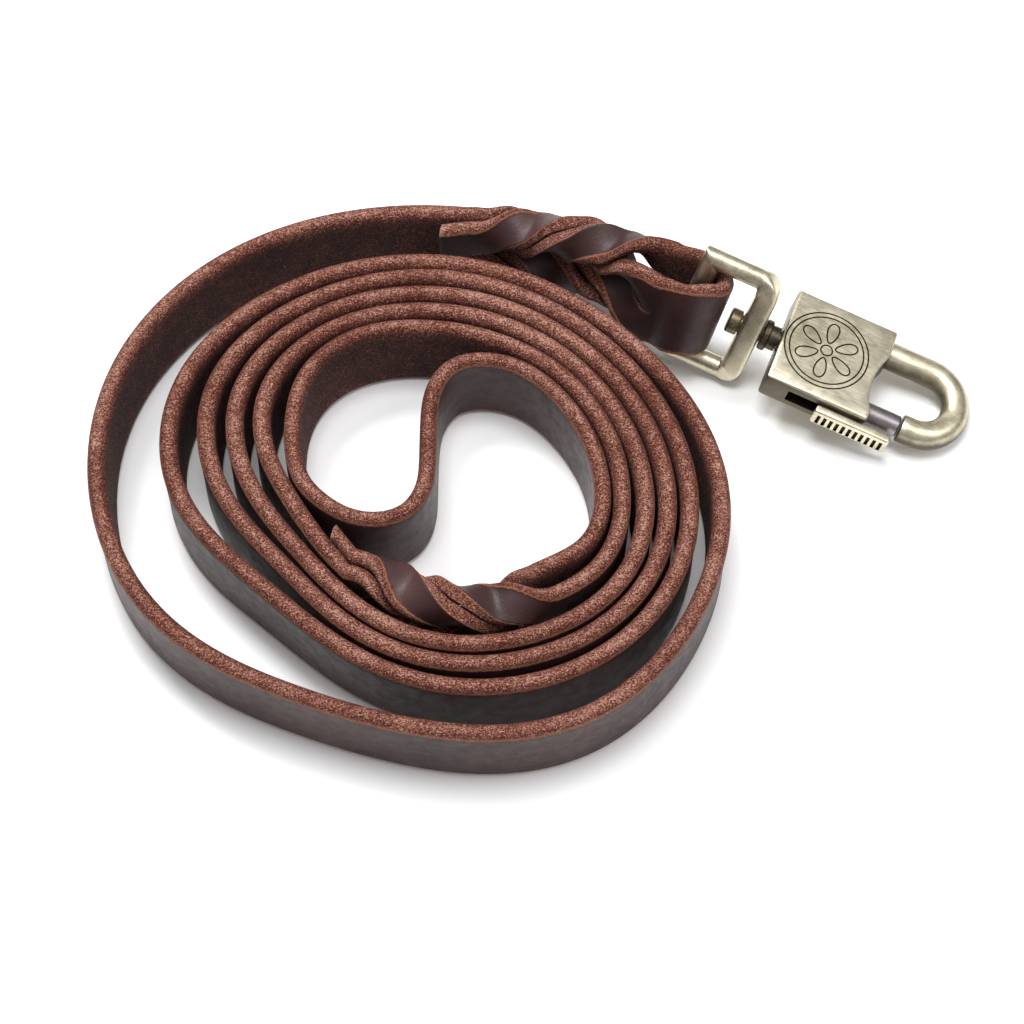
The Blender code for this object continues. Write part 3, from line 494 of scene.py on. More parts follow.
def loop_frames(layers, middle_points, step, squared, leans_of, middles_of):
    """Stations of a loop, from the standing layer's open end round to the tail's."""
    ahead = layers["heading"] * MM
    route = np.vstack([layers["standing"]["open"], layers["standing"]["open"] + ahead,
                       middle_points, layers["tail"]["open"] + ahead, layers["tail"]["open"]])
    curve = spline(lengths(route), route)
    line = evenly(curve(np.linspace(0.0, lengths(route)[-1], 1200)), step)
    side = left_of(headings(line))
    side *= math.copysign(1.0, np.dot(side[0], layers["inward"][1]))
    side[0], side[-1] = layers["inward"][1], -layers["inward"][1]
    share = np.linspace(0.0, 1.0, len(line))
    leans = leans_of(line, share)
    middles = middles_of(line, share, leans)
    return [strap_frame(p, n, b, m, squared)
            for p, n, b, m in zip(line, side, leans, middles)], lengths(line)[-1]


def clip_loop_shape():
    bar = bar_centre()
    forward = np.array([math.cos(CLASP_YAW), math.sin(CLASP_YAW)])
    across = np.array([-forward[1], forward[0]])
    lean = clip_leans(np.zeros((1, 2)), [1.0])[0]
    centre = np.array([bar.x, bar.y]) - lean * (1.0 - bar.z / STRAP_WIDTH)
    centre = centre + forward * LOOP_CENTRE[0] + across * LOOP_CENTRE[1]
    arc = [centre + LOOP_RADIUS * (forward * math.sin(turn) + across * math.cos(turn))
           for turn in np.radians(np.arange(0.0, 181.0, 30.0))]
    low = 0.5 * STRAP_WIDTH + CLIP_RISE

    def round_bar(share):
        return smoothstep(share, 0.0, LOOP_EASE) * smoothstep(1.0 - share, 0.0, LOOP_EASE)

    def leans_of(line, share):
        return clip_leans(line, CLIP_LEAN + (1.0 - CLIP_LEAN) * round_bar(share))

    def middles_of(line, share, leans):
        along = bar_direction()
        from_bar = line + leans * (1.0 - bar.z / STRAP_WIDTH) - (bar.x, bar.y)
        square = bar.z - (from_bar[:, 0] * along.x + from_bar[:, 1] * along.y) / along.z
        return low + (square - low) * round_bar(share)

    return np.array(arc), leans_of, middles_of


def build_strap():
    """The whole strap, from the clip end's cut tail to the hand loop's. Returns its length."""
    mesh = StrapMesh()
    half = 0.5 * STRAP_WIDTH
    clip = braid_layers(
        CLIP_BRAID_AXIS, CLIP_SPREAD,
        lambda share: half + CLIP_RISE * smoothstep(share, *CLIP_RISE_OVER),
        lambda axis, share: clip_leans(axis, CLIP_LEAN * smoothstep(share, *CLIP_LEAN_OVER)), True)
    hand = braid_layers(HAND_BRAID_AXIS, HAND_SPREAD, lambda share: np.full(len(share), half),
                        lambda axis, share: lean_at(axis), False)
    arc, leans_of, middles_of = clip_loop_shape()
    clip_loop, clip_length = loop_frames(clip, arc, CLIP_LOOP_STEP, True, leans_of, middles_of)
    hand_loop, hand_length = loop_frames(hand, HAND_LOOP[1:-1], HAND_LOOP_STEP, False,
                                         lambda line, share: lean_at(line),
                                         lambda line, share, leans: [None] * len(line))
    route = evenly(coil_route(), COIL_STEP)
    side = left_of(headings(route))
    side[0], side[-1] = clip["inward"][0], hand["inward"][0]
    coil = [strap_frame(p, n, b) for p, n, b in zip(route, side, lean_at(route))]
    coil[0], coil[-1] = clip["standing"]["ends"][0], hand["standing"]["ends"][0]
    clip_braid = BRAID_STEP * (len(clip["standing"]["strands"]) + 1)
    hand_braid = BRAID_STEP * (len(hand["standing"]["strands"]) + 1)

    def rings(places, bulge=0.0):
        share = np.arange(len(places)) / BULGE_RINGS
        proud = bulge * smoothstep(np.minimum(share, share[::-1]))
        return [mesh.uncut(place, swell) for place, swell in zip(places, proud)]

    tail = rings(clip["tail"]["tail"] + [clip["tail"]["ends"][0]])
    loop = rings(clip_loop[::-1])
    turns, grip = rings(coil, 1.0), rings(hand_loop)
    end = rings([hand["tail"]["ends"][0]] + hand["tail"]["tail"][::-1])
    add_slit(mesh, tail[-1], clip["tail"], loop[0], False)
    add_slit(mesh, loop[-1], clip["standing"], turns[0], True)
    add_slit(mesh, turns[-1], hand["standing"], grip[0], False)
    add_slit(mesh, grip[-1], hand["tail"], end[0], True)
    for run in (tail, loop, turns, grip, end):
        bridge(mesh.bm, run)
    for ring in (tail[0], end[-1]):
        mesh.bm.faces.new(ring)
        for vert in ring:
            vert[mesh.layers[2]] = CUT_END
    length = (lengths(route)[-1] + clip_length + hand_length
              + 2.0 * (clip_braid + hand_braid + TAIL_LENGTH))
    return mesh.bm, length


# ---------------------------------------------------------------- the clasp's meshes

def new_object(name, bm, materials, matrix=None, smooth_angle=SMOOTH_ANGLE):
    bmesh.ops.recalc_face_normals(bm, faces=bm.faces[:])
    mesh = bpy.data.meshes.new(name)
    bm.to_mesh(mesh)
    bm.free()
    for finish in materials:
        mesh.materials.append(finish)
    mesh.shade_smooth()
    made = bpy.data.objects.new(name, mesh)
    bpy.context.scene.collection.objects.link(made)
    if matrix is not None:
        made.matrix_world = matrix
    if smooth_angle:
        mesh.set_sharp_from_angle(angle=math.radians(smooth_angle))
    return made


def freeze(made):
    """Applies an object's modifiers to its mesh."""
    bpy.context.view_layer.update()
    graph = bpy.context.evaluated_depsgraph_get()
    mesh = bpy.data.meshes.new_from_object(made.evaluated_get(graph), depsgraph=graph)
    made.modifiers.clear()
    made.data = mesh
    mesh.shade_smooth()
    mesh.set_sharp_from_angle(angle=math.radians(SMOOTH_ANGLE))


def add_bevel(made, width, segments=3):
    bevel = made.modifiers.new("bevel", "BEVEL")
    bevel.width = width
    bevel.segments = segments
    bevel.limit_method = "ANGLE"
    bevel.angle_limit = math.radians(BEVEL_ANGLE)


def combine(target, tools, operation):
    """Joins tools to a mesh or cuts them from it, and removes them."""
    for tool in tools:
        change = target.modifiers.new("combine", "BOOLEAN")
        change.operation = operation
        change.solver = "EXACT"
        change.material_mode = "TRANSFER"
        change.object = tool
    freeze(target)
    for tool in tools:
        bpy.data.objects.remove(tool, do_unlink=True)


def lathe(name, profile, matrix, finish, segments=48):
    """A closed solid turned about +X from (x, radius) points that go once round its section."""
    bm = bmesh.new()
    rings = []
    for x, radius in profile:
        if radius == 0.0:
            rings.append([bm.verts.new((x, 0.0, 0.0))])
            continue
        rings.append([bm.verts.new((x, radius * math.cos(a), radius * math.sin(a)))
                      for a in circle(segments)])
    pairs = list(zip(rings, rings[1:]))
    if profile[0][1] != 0.0:
        pairs.append((rings[-1], rings[0]))
    for ring_a, ring_b in pairs:
        for i in range(segments):
            j = (i + 1) % segments
            corners = [ring_a[i % len(ring_a)], ring_a[j % len(ring_a)],
                       ring_b[j % len(ring_b)], ring_b[i % len(ring_b)]]
            bm.faces.new(list(dict.fromkeys(corners)))
    return new_object(name, bm, [finish], matrix)


def rod(name, start, end, diameter, matrix, finish):
    start, end = Vector(start), Vector(end)
    turn = (end - start).to_track_quat("X", "Z").to_matrix().to_4x4()
    radius = 0.5 * diameter
    reach = (end - start).length
    profile = ((0.0, 0.0), (0.0, radius), (reach, radius), (reach, 0.0))
    return lathe(name, profile, matrix @ Matrix.Translation(start) @ turn, finish)


def block(name, low, high, matrix, finish):
    bm = bmesh.new()
    bmesh.ops.create_cube(bm, size=1.0)
    low, high = Vector(low), Vector(high)
    for vert in bm.verts:
        vert.co = Vector((low[k] + (vert.co[k] + 0.5) * (high[k] - low[k]) for k in range(3)))
    return new_object(name, bm, [finish], matrix)


def prism(name, outline, low, high, matrix, finish, bevel, segments):
    """An outline of (x, y) points extruded from low to high in z, with its edges rounded."""
    bm = bmesh.new()
    face = bm.faces.new([bm.verts.new((x, y, low)) for x, y in outline])
    moved = bmesh.ops.extrude_face_region(bm, geom=[face])["geom"]
    bmesh.ops.translate(bm, verts=[v for v in moved if isinstance(v, bmesh.types.BMVert)],
                        vec=(0.0, 0.0, high - low))
    made = new_object(name, bm, [finish], matrix)
    add_bevel(made, bevel, segments)
    freeze(made)
    return made


def tube(name, path, radii, matrix, finish, sides=40):
    """A closed round bar along a path in the clasp's plane, with a radius at each point."""
    bm = bmesh.new()
    points = [Vector(point) for point in path]
    rings = []
    for i, point in enumerate(points):
        ahead = points[min(i + 1, len(points) - 1)] - points[max(i - 1, 0)]
        ahead.normalize()
        flat = ahead.cross(Vector((0.0, 0.0, 1.0))).normalized()
        up = flat.cross(ahead)
        rings.append([bm.verts.new(point + radii[i] * (flat * math.cos(a) + up * math.sin(a)))
                      for a in circle(sides)])
    bridge(bm, rings, True)
    return new_object(name, bm, [finish], matrix)


def groove(name, path, width, low, high, matrix, finish):
    """A cutter of rectangular section round a closed path of (x, y) points."""
    bm = bmesh.new()
    count = len(path)
    rings = []
    for i in range(count):
        here = Vector(path[i])
        ahead = (Vector(path[(i + 1) % count]) - Vector(path[i - 1])).normalized()
        across = Vector((-ahead.y, ahead.x)) * 0.5 * width
        rings.append([bm.verts.new((here.x + across.x * s, here.y + across.y * s, z))
                      for s, z in ((-1, low), (1, low), (1, high), (-1, high))])
    bridge(bm, rings + rings[:1])
    return new_object(name, bm, [finish], matrix)


def rosette_paths():
    """A plain flower in a double ring: closed paths on the body's plate. Its petals are widest
    past the middle."""
    paths = []
    for radius in ROSETTE_RADII:
        steps = 24 if radius < PETAL_FROM else 96
        paths.append([(ROSETTE_CENTRE + radius * math.cos(a), radius * math.sin(a))
                      for a in circle(steps)])
    for k in range(PETALS):
        turn = 2.0 * math.pi * (k + 0.5) / PETALS
        petal = []
        for a in circle(32):
            reach = 0.5 * (PETAL_FROM + PETAL_TO) - 0.5 * (PETAL_TO - PETAL_FROM) * math.cos(a)
            wide = PETAL_HALF * math.sin(a) * (0.775 - 0.225 * math.cos(a))
            petal.append((ROSETTE_CENTRE + reach * math.cos(turn) - wide * math.sin(turn),
                          reach * math.sin(turn) + wide * math.cos(turn)))
        paths.append(petal)
    return paths


def build_hook_body(brass, dark, engraved):
    here = clasp_matrix()
    half, top = 0.5 * BODY_WIDTH, 0.5 * BODY_THICK
    radius = (NOTCH_HALF ** 2 + NOTCH_DEPTH ** 2) / (2.0 * NOTCH_DEPTH)
    centre = BODY_LENGTH - NOTCH_DEPTH + radius
    reach = math.degrees(math.asin(NOTCH_HALF / radius))
    outline = [(0.0, -half), (BODY_LENGTH, -half)]
    for turn in np.radians(np.linspace(-reach, reach, 25)):
        outline.append((centre - radius * math.cos(turn), NOTCH_MIDDLE + radius * math.sin(turn)))
    outline += [(BODY_LENGTH, half), (0.0, half)]
    body = prism("hook_body_fine", outline, -top, top, here, brass, BODY_EDGE, 4)

    bend = BODY_LENGTH + HOOK_STRAIGHT
    path = [(BODY_LENGTH - HOOK_ROOT, HOOK_OFFSET, 0.0)]
    path += [(BODY_LENGTH + x * MM, HOOK_OFFSET, 0.0) for x in (0.0, 3.0, 6.0)]
    for turn in np.radians(np.linspace(90.0, -90.0, 41)):
        path.append((bend + HOOK_OFFSET * math.cos(turn), HOOK_OFFSET * math.sin(turn), 0.0))
    tip = BODY_LENGTH + TIP_GAP
    path += [(tip + ahead, -HOOK_OFFSET, 0.0) for ahead in (*TIP_ROUND, 0.0)]
    thick = 0.5 * HOOK_DIAMETER
    radii = [thick] * (len(path) - 2) + [thick - less for less in reversed(TIP_ROUND)]
    combine(body, [tube("hook_bar", path, radii, here, brass)], "UNION")

    front = BODY_LENGTH + OVERCUT
    cutters = [
        rod("bore_cutter", (BORE_BACK, -HOOK_OFFSET, 0.0), (front, -HOOK_OFFSET, 0.0),
            BOLT_BORE, here, dark),
        block("slot_cutter", (SLOT_BACK, -half - OVERCUT, -0.5 * SLOT_HEIGHT),
              (front, -HOOK_OFFSET, 0.5 * SLOT_HEIGHT), here, dark),
        rod("rivet_hole_cutter", (-OVERCUT, 0.0, 0.0), (RIVET_HOLE[1], 0.0, 0.0),
            RIVET_HOLE[0], here, dark)]
    combine(body, cutters, "DIFFERENCE")
    combine(body, [groove(f"engraving_{k}", path, LINE_WIDTH, top - LINE_DEPTH,
                          top + LINE_DEPTH, here, engraved)
                   for k, path in enumerate(rosette_paths())], "DIFFERENCE")
    return body


def eye_section(flat, sides=40):
    """A section of the eye as (inset from the outer side, across): round on the bars, and
    flat with crisp edges on the front side."""
    deep = 0.5 * (EYE_BAR + flat * (EYE_PLATE[0] - EYE_BAR))
    wide = 0.5 * (EYE_BAR + flat * (EYE_PLATE[1] - EYE_BAR))
    power = 1.0 / (1.0 + 2.85 * flat)
    section = []
    for k in range(sides):
        turn = 2.0 * math.pi * (k + 0.5) / sides
        cos, sin = math.cos(turn), math.sin(turn)
        section.append((deep * (1.0 - math.copysign(abs(cos) ** power, cos)),
                        wide * math.copysign(abs(sin) ** power, sin)))
    return section


def build_eye(brass):
    """The eye: mitred at the back, rounded at the front, with a flat drilled front side."""
    half_x, half_z = 0.5 * EYE_LENGTH, 0.5 * EYE_HEIGHT
    middle = EYE_FRONT - half_x
    bm = bmesh.new()
    rings = []
    for side_x, side_z, start in ((-1, 1, 180.0), (1, 1, 90.0), (1, -1, 0.0), (-1, -1, -90.0)):
        corner = EYE_CORNER if side_x > 0 else EYE_MITRE
        for turned in np.linspace(0.0, 90.0, 13):
            angle = math.radians(start - turned)
            flat = float(smoothstep(math.cos(angle), 0.1, 0.9)) if side_x > 0 else 0.0
            ring = []
            for inset, across in eye_section(flat):
                bend = max(corner - inset, EYE_INNER)
                ring.append(bm.verts.new((
                    middle + side_x * (half_x - inset - bend) + bend * math.cos(angle), across,
                    side_z * (half_z - inset - bend) + bend * math.sin(angle))))
            rings.append(ring)
    bridge(bm, rings + rings[:1])
    made = new_object("swivel_eye_fine", bm, [brass], eye_matrix())
    combine(made, [rod("eye_hole_cutter", (EYE_FRONT - 2.0 * EYE_PLATE[0], 0.0, 0.0),
                       (EYE_FRONT + EYE_PLATE[0], 0.0, 0.0), EYE_HOLE, eye_matrix(), brass)],
            "DIFFERENCE")
    return made


def build_rivet(brass):
    shank, head = 0.5 * RIVET_SHANK, 0.5 * RIVET_HEAD[0]
    front = EYE_FRONT - EYE_PLATE[0] - CLEARANCE
    back = front - RIVET_HEAD[1]
    edge = 0.5 * MM
    profile = [(back - 0.05 * MM, 0.0), (back - 0.02 * MM, 0.5 * head)]
    profile += [(back + edge - edge * math.cos(a), head - edge + edge * math.sin(a))
                for a in np.radians((0.0, 25.0, 50.0, 75.0, 90.0))]
    profile += [(front - 0.2 * MM, head), (front, head - 0.2 * MM), (front, shank),
                (RIVET_DEPTH, shank), (RIVET_DEPTH, 0.0)]
    return lathe("swivel_rivet_fine", profile, clasp_matrix(), brass)


def build_collar(dark):
    outer, inner = 0.5 * COLLAR[0], 0.5 * RIVET_HOLE[0]
    start, end = EYE_FRONT + CLEARANCE, -CLEARANCE
    edge, neck = 0.25 * MM, 0.7 * MM
    step = start + 1.5 * MM
    profile = [(start, inner), (start, outer - edge), (start + edge, outer),
               (step - edge, outer), (step, outer - edge), (step, outer - neck),
               (end, outer - neck), (end, inner)]
    return lathe("swivel_collar_fine", profile, clasp_matrix(), dark)


def build_bolt(steel):
    here = clasp_matrix() @ Matrix.Translation((0.0, -HOOK_OFFSET, 0.0))
    radius, end = 0.5 * BOLT_DIAMETER, BODY_LENGTH + TIP_GAP - CLEARANCE
    edge = 0.45 * MM
    profile = [(BOLT_BACK, 0.0), (BOLT_BACK, radius - edge), (BOLT_BACK + edge, radius)]
    profile += [(end - edge + edge * math.sin(a), radius - edge + edge * math.cos(a))
                for a in np.radians((0.0, 30.0, 60.0, 90.0))]
    profile += [(end, 0.0)]
    return lathe("lock_bolt_fine", profile, here, steel)


def build_thumb(brass, dark):
    """The ribbed slide: a rounded bar with a row of dark pockets, and its web to the bolt."""
    here = clasp_matrix()
    inner = -0.5 * BODY_WIDTH - CLEARANCE
    outer = inner - THUMB_DEPTH
    half = 0.5 * THUMB_HEIGHT
    slide = block("thumb_slide_fine", (THUMB_BACK, outer, -half),
                  (THUMB_BACK + THUMB_LENGTH, inner, half), here, brass)
    add_bevel(slide, 0.45 * MM)
    freeze(slide)
    web_half = 0.5 * SLOT_HEIGHT - CLEARANCE
    bolt_side = -HOOK_OFFSET - 0.5 * BOLT_DIAMETER
    web = block("web", (THUMB_WEB[0], inner - WEB_SUNK[0], -web_half),
                (THUMB_WEB[1], bolt_side + WEB_SUNK[1], web_half), here, brass)
    combine(slide, [web], "UNION")
    pitch = THUMB_LENGTH / (RIB_COUNT + 1)
    reach = POCKET_HALF * pitch
    pockets = []
    for i in range(RIB_COUNT):
        middle = THUMB_BACK + pitch * (i + 1)
        pockets.append(block(f"pocket_{i}", (middle - reach, outer - OVERCUT, RIB_RIMS[0] - half),
                             (middle + reach, outer + RIB_DEPTH, half - RIB_RIMS[1]), here, dark))
    combine(slide, pockets, "DIFFERENCE")
    return slide


def build_spring(steel):
    """The bolt's coil spring, with closed end turns."""
    here = clasp_matrix() @ Matrix.Translation((0.0, -HOOK_OFFSET, 0.0))
    start, end = BORE_BACK + CLEARANCE, BOLT_BACK - CLEARANCE
    turns = np.linspace(0.0, SPRING_TURNS, 24 * SPRING_TURNS + 1)
    closed = 1.1 * SPRING_WIRE
    along = np.interp(turns, (0.0, 0.9, SPRING_TURNS - 0.9, SPRING_TURNS),
                      (0.0, closed, end - start - SPRING_WIRE - closed, end - start - SPRING_WIRE))
    bm = bmesh.new()
    rings = []
    for x, turn in zip(along + start + 0.5 * SPRING_WIRE, 2.0 * math.pi * turns):
        out = Vector((0.0, math.cos(turn), math.sin(turn)))
        point = out * SPRING_RADIUS + Vector((x, 0.0, 0.0))
        rings.append([bm.verts.new(point + 0.5 * SPRING_WIRE * (
            out * math.cos(a) + Vector((math.sin(a), 0.0, 0.0)))) for a in circle(SPRING_SIDES)])
    bridge(bm, rings, True)
    spring = new_object("bolt_spring_fine", bm, [steel], here)
    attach(spring, "hook")
    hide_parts("bolt_spring")
    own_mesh(spring)


# ---------------------------------------------------------------- materials

def linear(red, green, blue):
    """A colour given as 0-255 display values, as Blender's linear values."""
    values = [c / 255.0 for c in (red, green, blue)]
    return tuple(c / 12.92 if c <= 0.04045 else ((c + 0.055) / 1.055) ** 2.4
                 for c in values) + (1.0,)


class Finish:
    """A material and short ways to build its nodes."""

    def __init__(self, name, metallic, roughness):
        self.material = bpy.data.materials.new(name)
        self.material.use_nodes = True
        self.nodes = self.material.node_tree.nodes
        self.links = self.material.node_tree.links
        self.shader = self.nodes["Principled BSDF"]
        self.set("Metallic", metallic)
        self.set("Roughness", roughness)
        self.place = self.node("ShaderNodeTexCoord").outputs["Object"]

    def node(self, kind, inputs=(), **settings):
        made = self.nodes.new(kind)
        for key, value in settings.items():
            setattr(made, key, value)
        for key, value in dict(inputs).items():
            self.fill(made.inputs[key], value)
        return made

    def fill(self, socket, value):
        if isinstance(value, bpy.types.NodeSocket):
            self.links.new(value, socket)
        else:
            socket.default_value = value

    def set(self, name, value):
        self.fill(self.shader.inputs[name], value)

    def stretched(self, x, y, z):
        return self.node("ShaderNodeMapping", {"Vector": self.place, "Scale": (x, y, z)}
                         ).outputs["Vector"]

    def noise(self, scale, detail=3.0, roughness=0.55, place=None, distortion=0.0):
        return self.node("ShaderNodeTexNoise", {
            "Vector": place or self.place, "Scale": scale, "Detail": detail,
            "Roughness": roughness, "Distortion": distortion}).outputs["Fac"]

    def cells(self, scale):
        return self.node("ShaderNodeTexVoronoi", {
            "Vector": self.place, "Scale": scale}).outputs["Distance"]

    def attribute(self, name):
        return self.node("ShaderNodeAttribute", attribute_name=name).outputs["Fac"]

    def math(self, operation, first, second=0.0, third=0.0):
        made = self.node("ShaderNodeMath", operation=operation)
        for socket, value in zip(made.inputs, (first, second, third)):
            self.fill(socket, value)
        return made.outputs[0]

    def span(self, value, low, high, to_low=0.0, to_high=1.0):
        return self.node("ShaderNodeMapRange", {
            "Value": value, "From Min": low, "From Max": high,
            "To Min": to_low, "To Max": to_high}, interpolation_type="SMOOTHSTEP").outputs[0]

    def ramp(self, value, *stops):
        made = self.node("ShaderNodeValToRGB", {"Fac": value})
        elements = made.color_ramp.elements
        while len(elements) < len(stops):
            elements.new(0.5)
        for element, (at, colour) in zip(elements, stops):
            element.position = at
            element.color = colour
        return made.outputs["Color"]

    def mix(self, share, first, second):
        made = self.node("ShaderNodeMix", data_type="RGBA")
        for name, value in (("Factor_Float", share), ("A_Color", first), ("B_Color", second)):
            socket = next(s for s in made.inputs if s.identifier == name)
            self.fill(socket, value)
        return next(s for s in made.outputs if s.identifier == "Result_Color")

    def bump(self, height, distance, strength=1.0, normal=None):
        made = self.node("ShaderNodeBump", {
            "Height": height, "Distance": distance, "Strength": strength})
        if normal is not None:
            self.fill(made.inputs["Normal"], normal)
        return made.outputs["Normal"]


def leather_finish():
    """Dark, sealed grain on the face; rough suede on the cut edges and the flesh side. The flesh
    side's suede is painted darker, a painted shade, and each edge's crest lighter, a painted
    highlight.
    """
    made = Finish("leather", 0.0, 0.6)
    ragged = made.math("MULTIPLY_ADD", made.noise(1300.0, 4.0, 0.65), 0.7, -0.35)
    grain = made.math("ADD", made.attribute("grain"), ragged)
    sealed = made.span(grain, 0.45, 0.75)
    rim = made.math("MULTIPLY", made.span(grain, 0.02, 0.35), made.math("SUBTRACT", 1.0, sealed))

    cloud = made.noise(60.0, 4.0)
    face = made.ramp(cloud, (0.30, linear(45, 28, 27)), (0.52, linear(58, 38, 37)),
                     (0.75, linear(72, 49, 47)))
    pores = made.cells(1700.0)
    face = made.mix(made.span(pores, 0.30, 0.05, 0.0, 0.4), face, linear(30, 18, 18))

    fleck = made.noise(3300.0, 2.0, 0.60)
    fibre = made.noise(1.0, 3.0, 0.65, made.stretched(1500.0, 4200.0, 2600.0), 1.0)
    nap = made.noise(220.0, 5.0, 0.65)
    worn = made.noise(45.0, 3.0, 0.6)
    tone = made.math("MULTIPLY_ADD", fleck, 0.62, made.math("MULTIPLY_ADD", fibre, 0.52, -0.075))
    tone = made.math("ADD", tone, made.math("MULTIPLY_ADD", nap, 0.15, -0.075))
    tone = made.math("ADD", tone, made.math("MULTIPLY_ADD", worn, 0.16, -0.08))
    # The crest's share lightens the middle of each free edge: a painted highlight along the bead.
    crest = made.math("MULTIPLY_ADD", made.attribute("crest"), CREST_HIGHLIGHT, -0.6 * CREST_HIGHLIGHT)
    tone = made.math("ADD", tone, crest)
    edge = made.ramp(tone, (0.385, linear(70, 26, 17)), (0.455, linear(112, 54, 38)),
                     (0.525, linear(146, 87, 69)), (0.625, linear(220, 170, 152)))
    # Painted shade: the flesh side's suede gets darker tones than the edges, for the shade it lies
    # in between the turns.
    flesh_in_painted_shade = made.ramp(tone, (0.39, linear(36, 16, 15)), (0.47, linear(76, 37, 31)),
                       (0.54, linear(112, 60, 48)), (0.63, linear(170, 114, 96)))
    flesh = made.span(made.attribute("flesh"), 0.0, 0.9)
    suede = made.mix(flesh, edge, flesh_in_painted_shade)
    suede = made.mix(made.math("MULTIPLY", rim, 0.6), suede, linear(188, 126, 96))
    made.set("Base Color", made.mix(sealed, suede, face))
    haze = made.noise(420.0, 5.0, 0.6)
    made.set("Roughness", made.span(sealed, 0.0, 1.0, 0.78, made.span(haze, 0.3, 0.7, 0.41, 0.55)))
    made.set("Specular IOR Level", 0.31)
    pile = made.math("MULTIPLY", tone, made.math("SUBTRACT", 1.0, sealed))
    rough = made.bump(pile, 0.0016)
    pitted = made.math("MULTIPLY_ADD", pores, 0.35, made.math("MULTIPLY", haze, 0.35))
    made.set("Normal", made.bump(made.math("MULTIPLY", pitted, sealed), 0.00010, 1.0, rough))
    return made.material


def metal_finish(name, tones, roughness, brushed=False, painted_flank_shade=None):
    """Antiqued plate: a mottled tone, finely brushed along the clasp if asked. The flank colour is a
    painted shade: the darker colour painted where a surface turns away from the clasp's broad faces."""
    made = Finish(name, 1.0, 0.4)
    mottle = made.noise(420.0, 5.0, 0.62)
    patch = made.noise(60.0, 3.0)
    if brushed:
        lines = made.noise(1.0, 4.0, 0.6, made.stretched(300.0, 6000.0, 6000.0))
    else:
        lines = made.noise(3000.0, 4.0, 0.6)
    tone = made.math("MULTIPLY_ADD", patch, 0.35, made.math("MULTIPLY", mottle, 0.25))
    tone = made.math("MULTIPLY_ADD", lines, 0.40, tone)
    colour = made.ramp(tone, (0.38, tones[0]), (0.50, tones[1]), (0.62, tones[2]))
    if painted_flank_shade:
        # Painted shade: surfaces turned away from the broad faces take the darker flank colour,
        # standing in for the dark reflection on the sides.
        turned = made.node("ShaderNodeTexCoord").outputs["Normal"]
        broad = made.node("ShaderNodeSeparateXYZ", {"Vector": turned}).outputs["Z"]
        broad = made.math("ADD", made.math("ABSOLUTE", broad),
                          made.math("MULTIPLY_ADD", mottle, 0.3, -0.15))
        colour = made.mix(made.span(broad, 0.15, 0.75), painted_flank_shade, colour)
    made.set("Base Color", colour)
    wear = made.math("MULTIPLY_ADD", lines, 0.5, made.math("MULTIPLY", mottle, 0.5))
    made.set("Roughness", made.span(wear, 0.32, 0.68, roughness - 0.06, roughness + 0.08))
    fine = made.bump(lines, 0.00004, 0.5)
    made.set("Normal", made.bump(mottle, 0.00006, 0.4, fine))
    return made.material


def floor_finish():
    made = Finish("floor", 0.0, 0.9)
    grain = made.noise(30.0, 4.0)
    made.set("Base Color", made.ramp(grain, (0.3, (0.90, 0.90, 0.90, 1.0)),
                                     (0.7, (0.93, 0.93, 0.93, 1.0))))
    made.set("Specular IOR Level", 0.1)
    made.set("Normal", made.bump(made.noise(900.0, 3.0), 0.00003, 0.3))
    return made.material


# ---------------------------------------------------------------- stage

def area_light(name, place, size, power):
    data = bpy.data.lights.new(name, "AREA")
    data.size = size
    data.energy = power
    lamp = bpy.data.objects.new(name, data)
    lamp.location = place
    aim = Vector(CAMERA_TARGET) - Vector(place)
    lamp.rotation_euler = aim.to_track_quat("-Z", "Y").to_euler()
    bpy.context.scene.collection.objects.link(lamp)


def build_world():
    """A plain studio dome, lighter overhead than at the horizon."""
    world = bpy.data.worlds.new("studio")
    world.use_nodes = True
    nodes, links = world.node_tree.nodes, world.node_tree.links
    rise = nodes.new("ShaderNodeSeparateXYZ")
    links.new(nodes.new("ShaderNodeTexCoord").outputs["Generated"], rise.inputs[0])
    tone = nodes.new("ShaderNodeValToRGB")
    for element, (at, grey) in zip(tone.color_ramp.elements, ((0.0, DOME[0]), (0.85, DOME[1]))):
        element.position = at
        element.color = (grey, grey, grey, 1.0)
    links.new(rise.outputs["Z"], tone.inputs["Fac"])
    links.new(tone.outputs["Color"], nodes["Background"].inputs["Color"])
    nodes["Background"].inputs["Strength"].default_value = WORLD_LIGHT
    bpy.context.scene.world = world
    bpy.context.scene.view_settings.view_transform = "Standard"


def build_stage():
    bm = bmesh.new()
    bmesh.ops.create_grid(bm, x_segments=8, y_segments=8, size=FLOOR_REACH)
    floor = new_object("floor", bm, [floor_finish()], smooth_angle=0.0)
    floor.location.z = cad_box[0][2]

    build_world()
    for light in LIGHTS:
        area_light(*light)


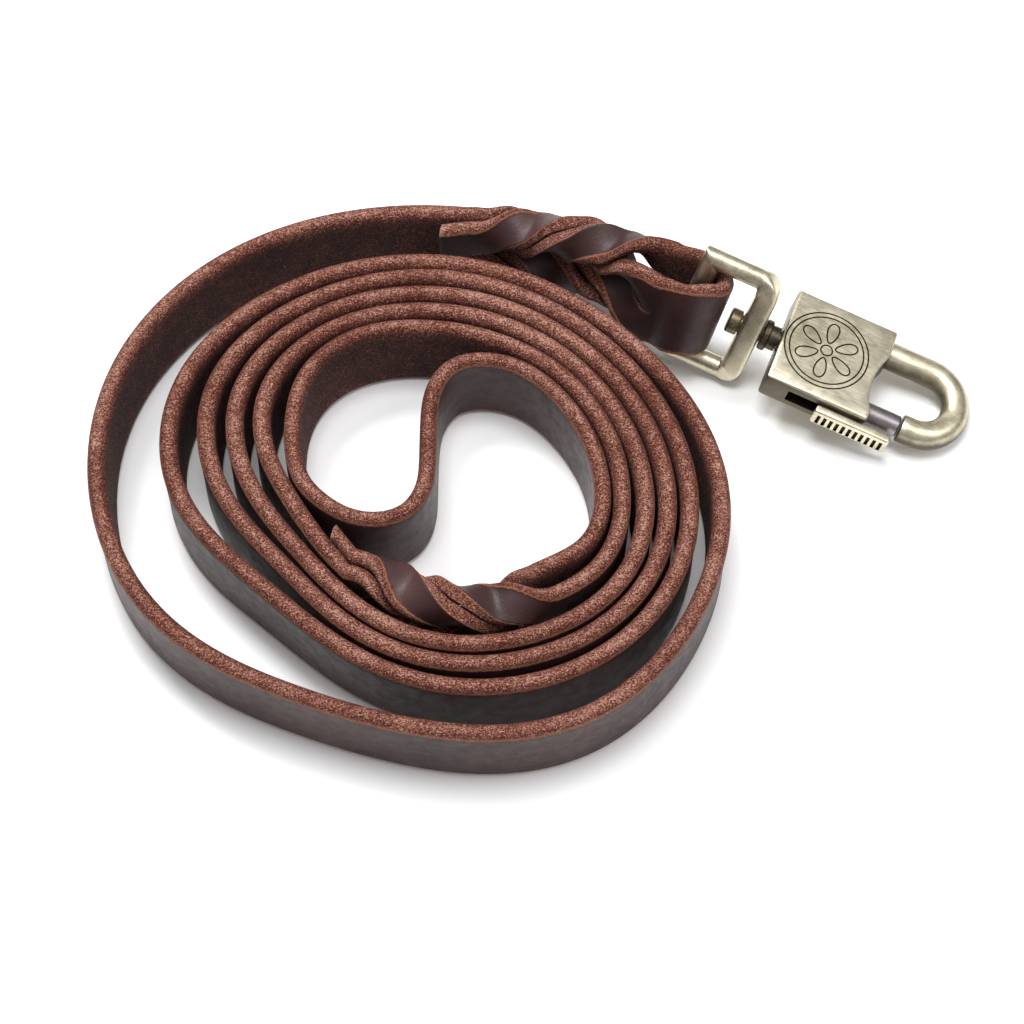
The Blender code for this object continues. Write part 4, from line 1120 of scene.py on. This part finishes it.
def build_camera():
    data = bpy.data.cameras.new("camera")
    data.lens, data.sensor_width = LENS, SENSOR
    data.clip_start, data.clip_end = 0.01, 20.0
    camera = bpy.data.objects.new("camera", data)
    rise = math.radians(CAMERA_RISE)
    aside = Vector((0.0, -math.cos(rise), math.sin(rise)))
    camera.location = Vector(CAMERA_TARGET) + CAMERA_DISTANCE * aside
    camera.rotation_euler = (0.5 * math.pi - rise, 0.0, 0.0)
    bpy.context.scene.collection.objects.link(camera)
    bpy.context.scene.camera = camera


# ---------------------------------------------------------------- the pieces

def build_leather():
    bm, length = build_strap()
    strap = new_object("leather_strap", bm, [leather_finish()], smooth_angle=0.0)
    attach(strap, "strap")
    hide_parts(*LEATHER_NODES)


def build_clasp():
    tones = (linear(166, 157, 131), linear(206, 197, 172), linear(230, 221, 199))
    # The flank colour is a painted shade on the sides of the body and hook.
    brass = metal_finish("antique_brass", tones, 0.36, True, painted_flank_shade=linear(90, 83, 70))
    eye_brass = metal_finish("eye_brass", tones, 0.36)
    dark = metal_finish("dark_brass", (linear(58, 52, 44), linear(84, 76, 64),
                                       linear(118, 108, 92)), 0.40)
    worn = metal_finish("worn_brass", (linear(84, 74, 58), linear(118, 106, 84),
                                       linear(160, 148, 122)), 0.38)
    engraved = metal_finish("engraving", (linear(40, 32, 20), linear(52, 42, 28),
                                          linear(66, 54, 38)), 0.60)
    steel = metal_finish("bolt_steel", (linear(114, 107, 108), linear(136, 129, 131),
                                        linear(162, 155, 157)), 0.34)
    pieces = (
        (build_eye(eye_brass), "eye", "swivel_eye", "antique_brass"),
        (build_rivet(worn), "hook", "swivel_rivet", "dark_brass"),
        (build_collar(dark), "hook", "swivel_collar", "dark_brass"),
        (build_hook_body(brass, dark, engraved), "hook", "hook_body", "antique_brass"),
        (build_bolt(steel), "bolt", "lock_bolt", "bolt_steel"),
        (build_thumb(eye_brass, engraved), "bolt", "thumb_slide", "antique_brass"))
    for piece, body, node, slot in pieces:
        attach(piece, body)
        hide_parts(node)
    build_spring(steel)


build_camera()
build_stage()
build_leather()
build_clasp()
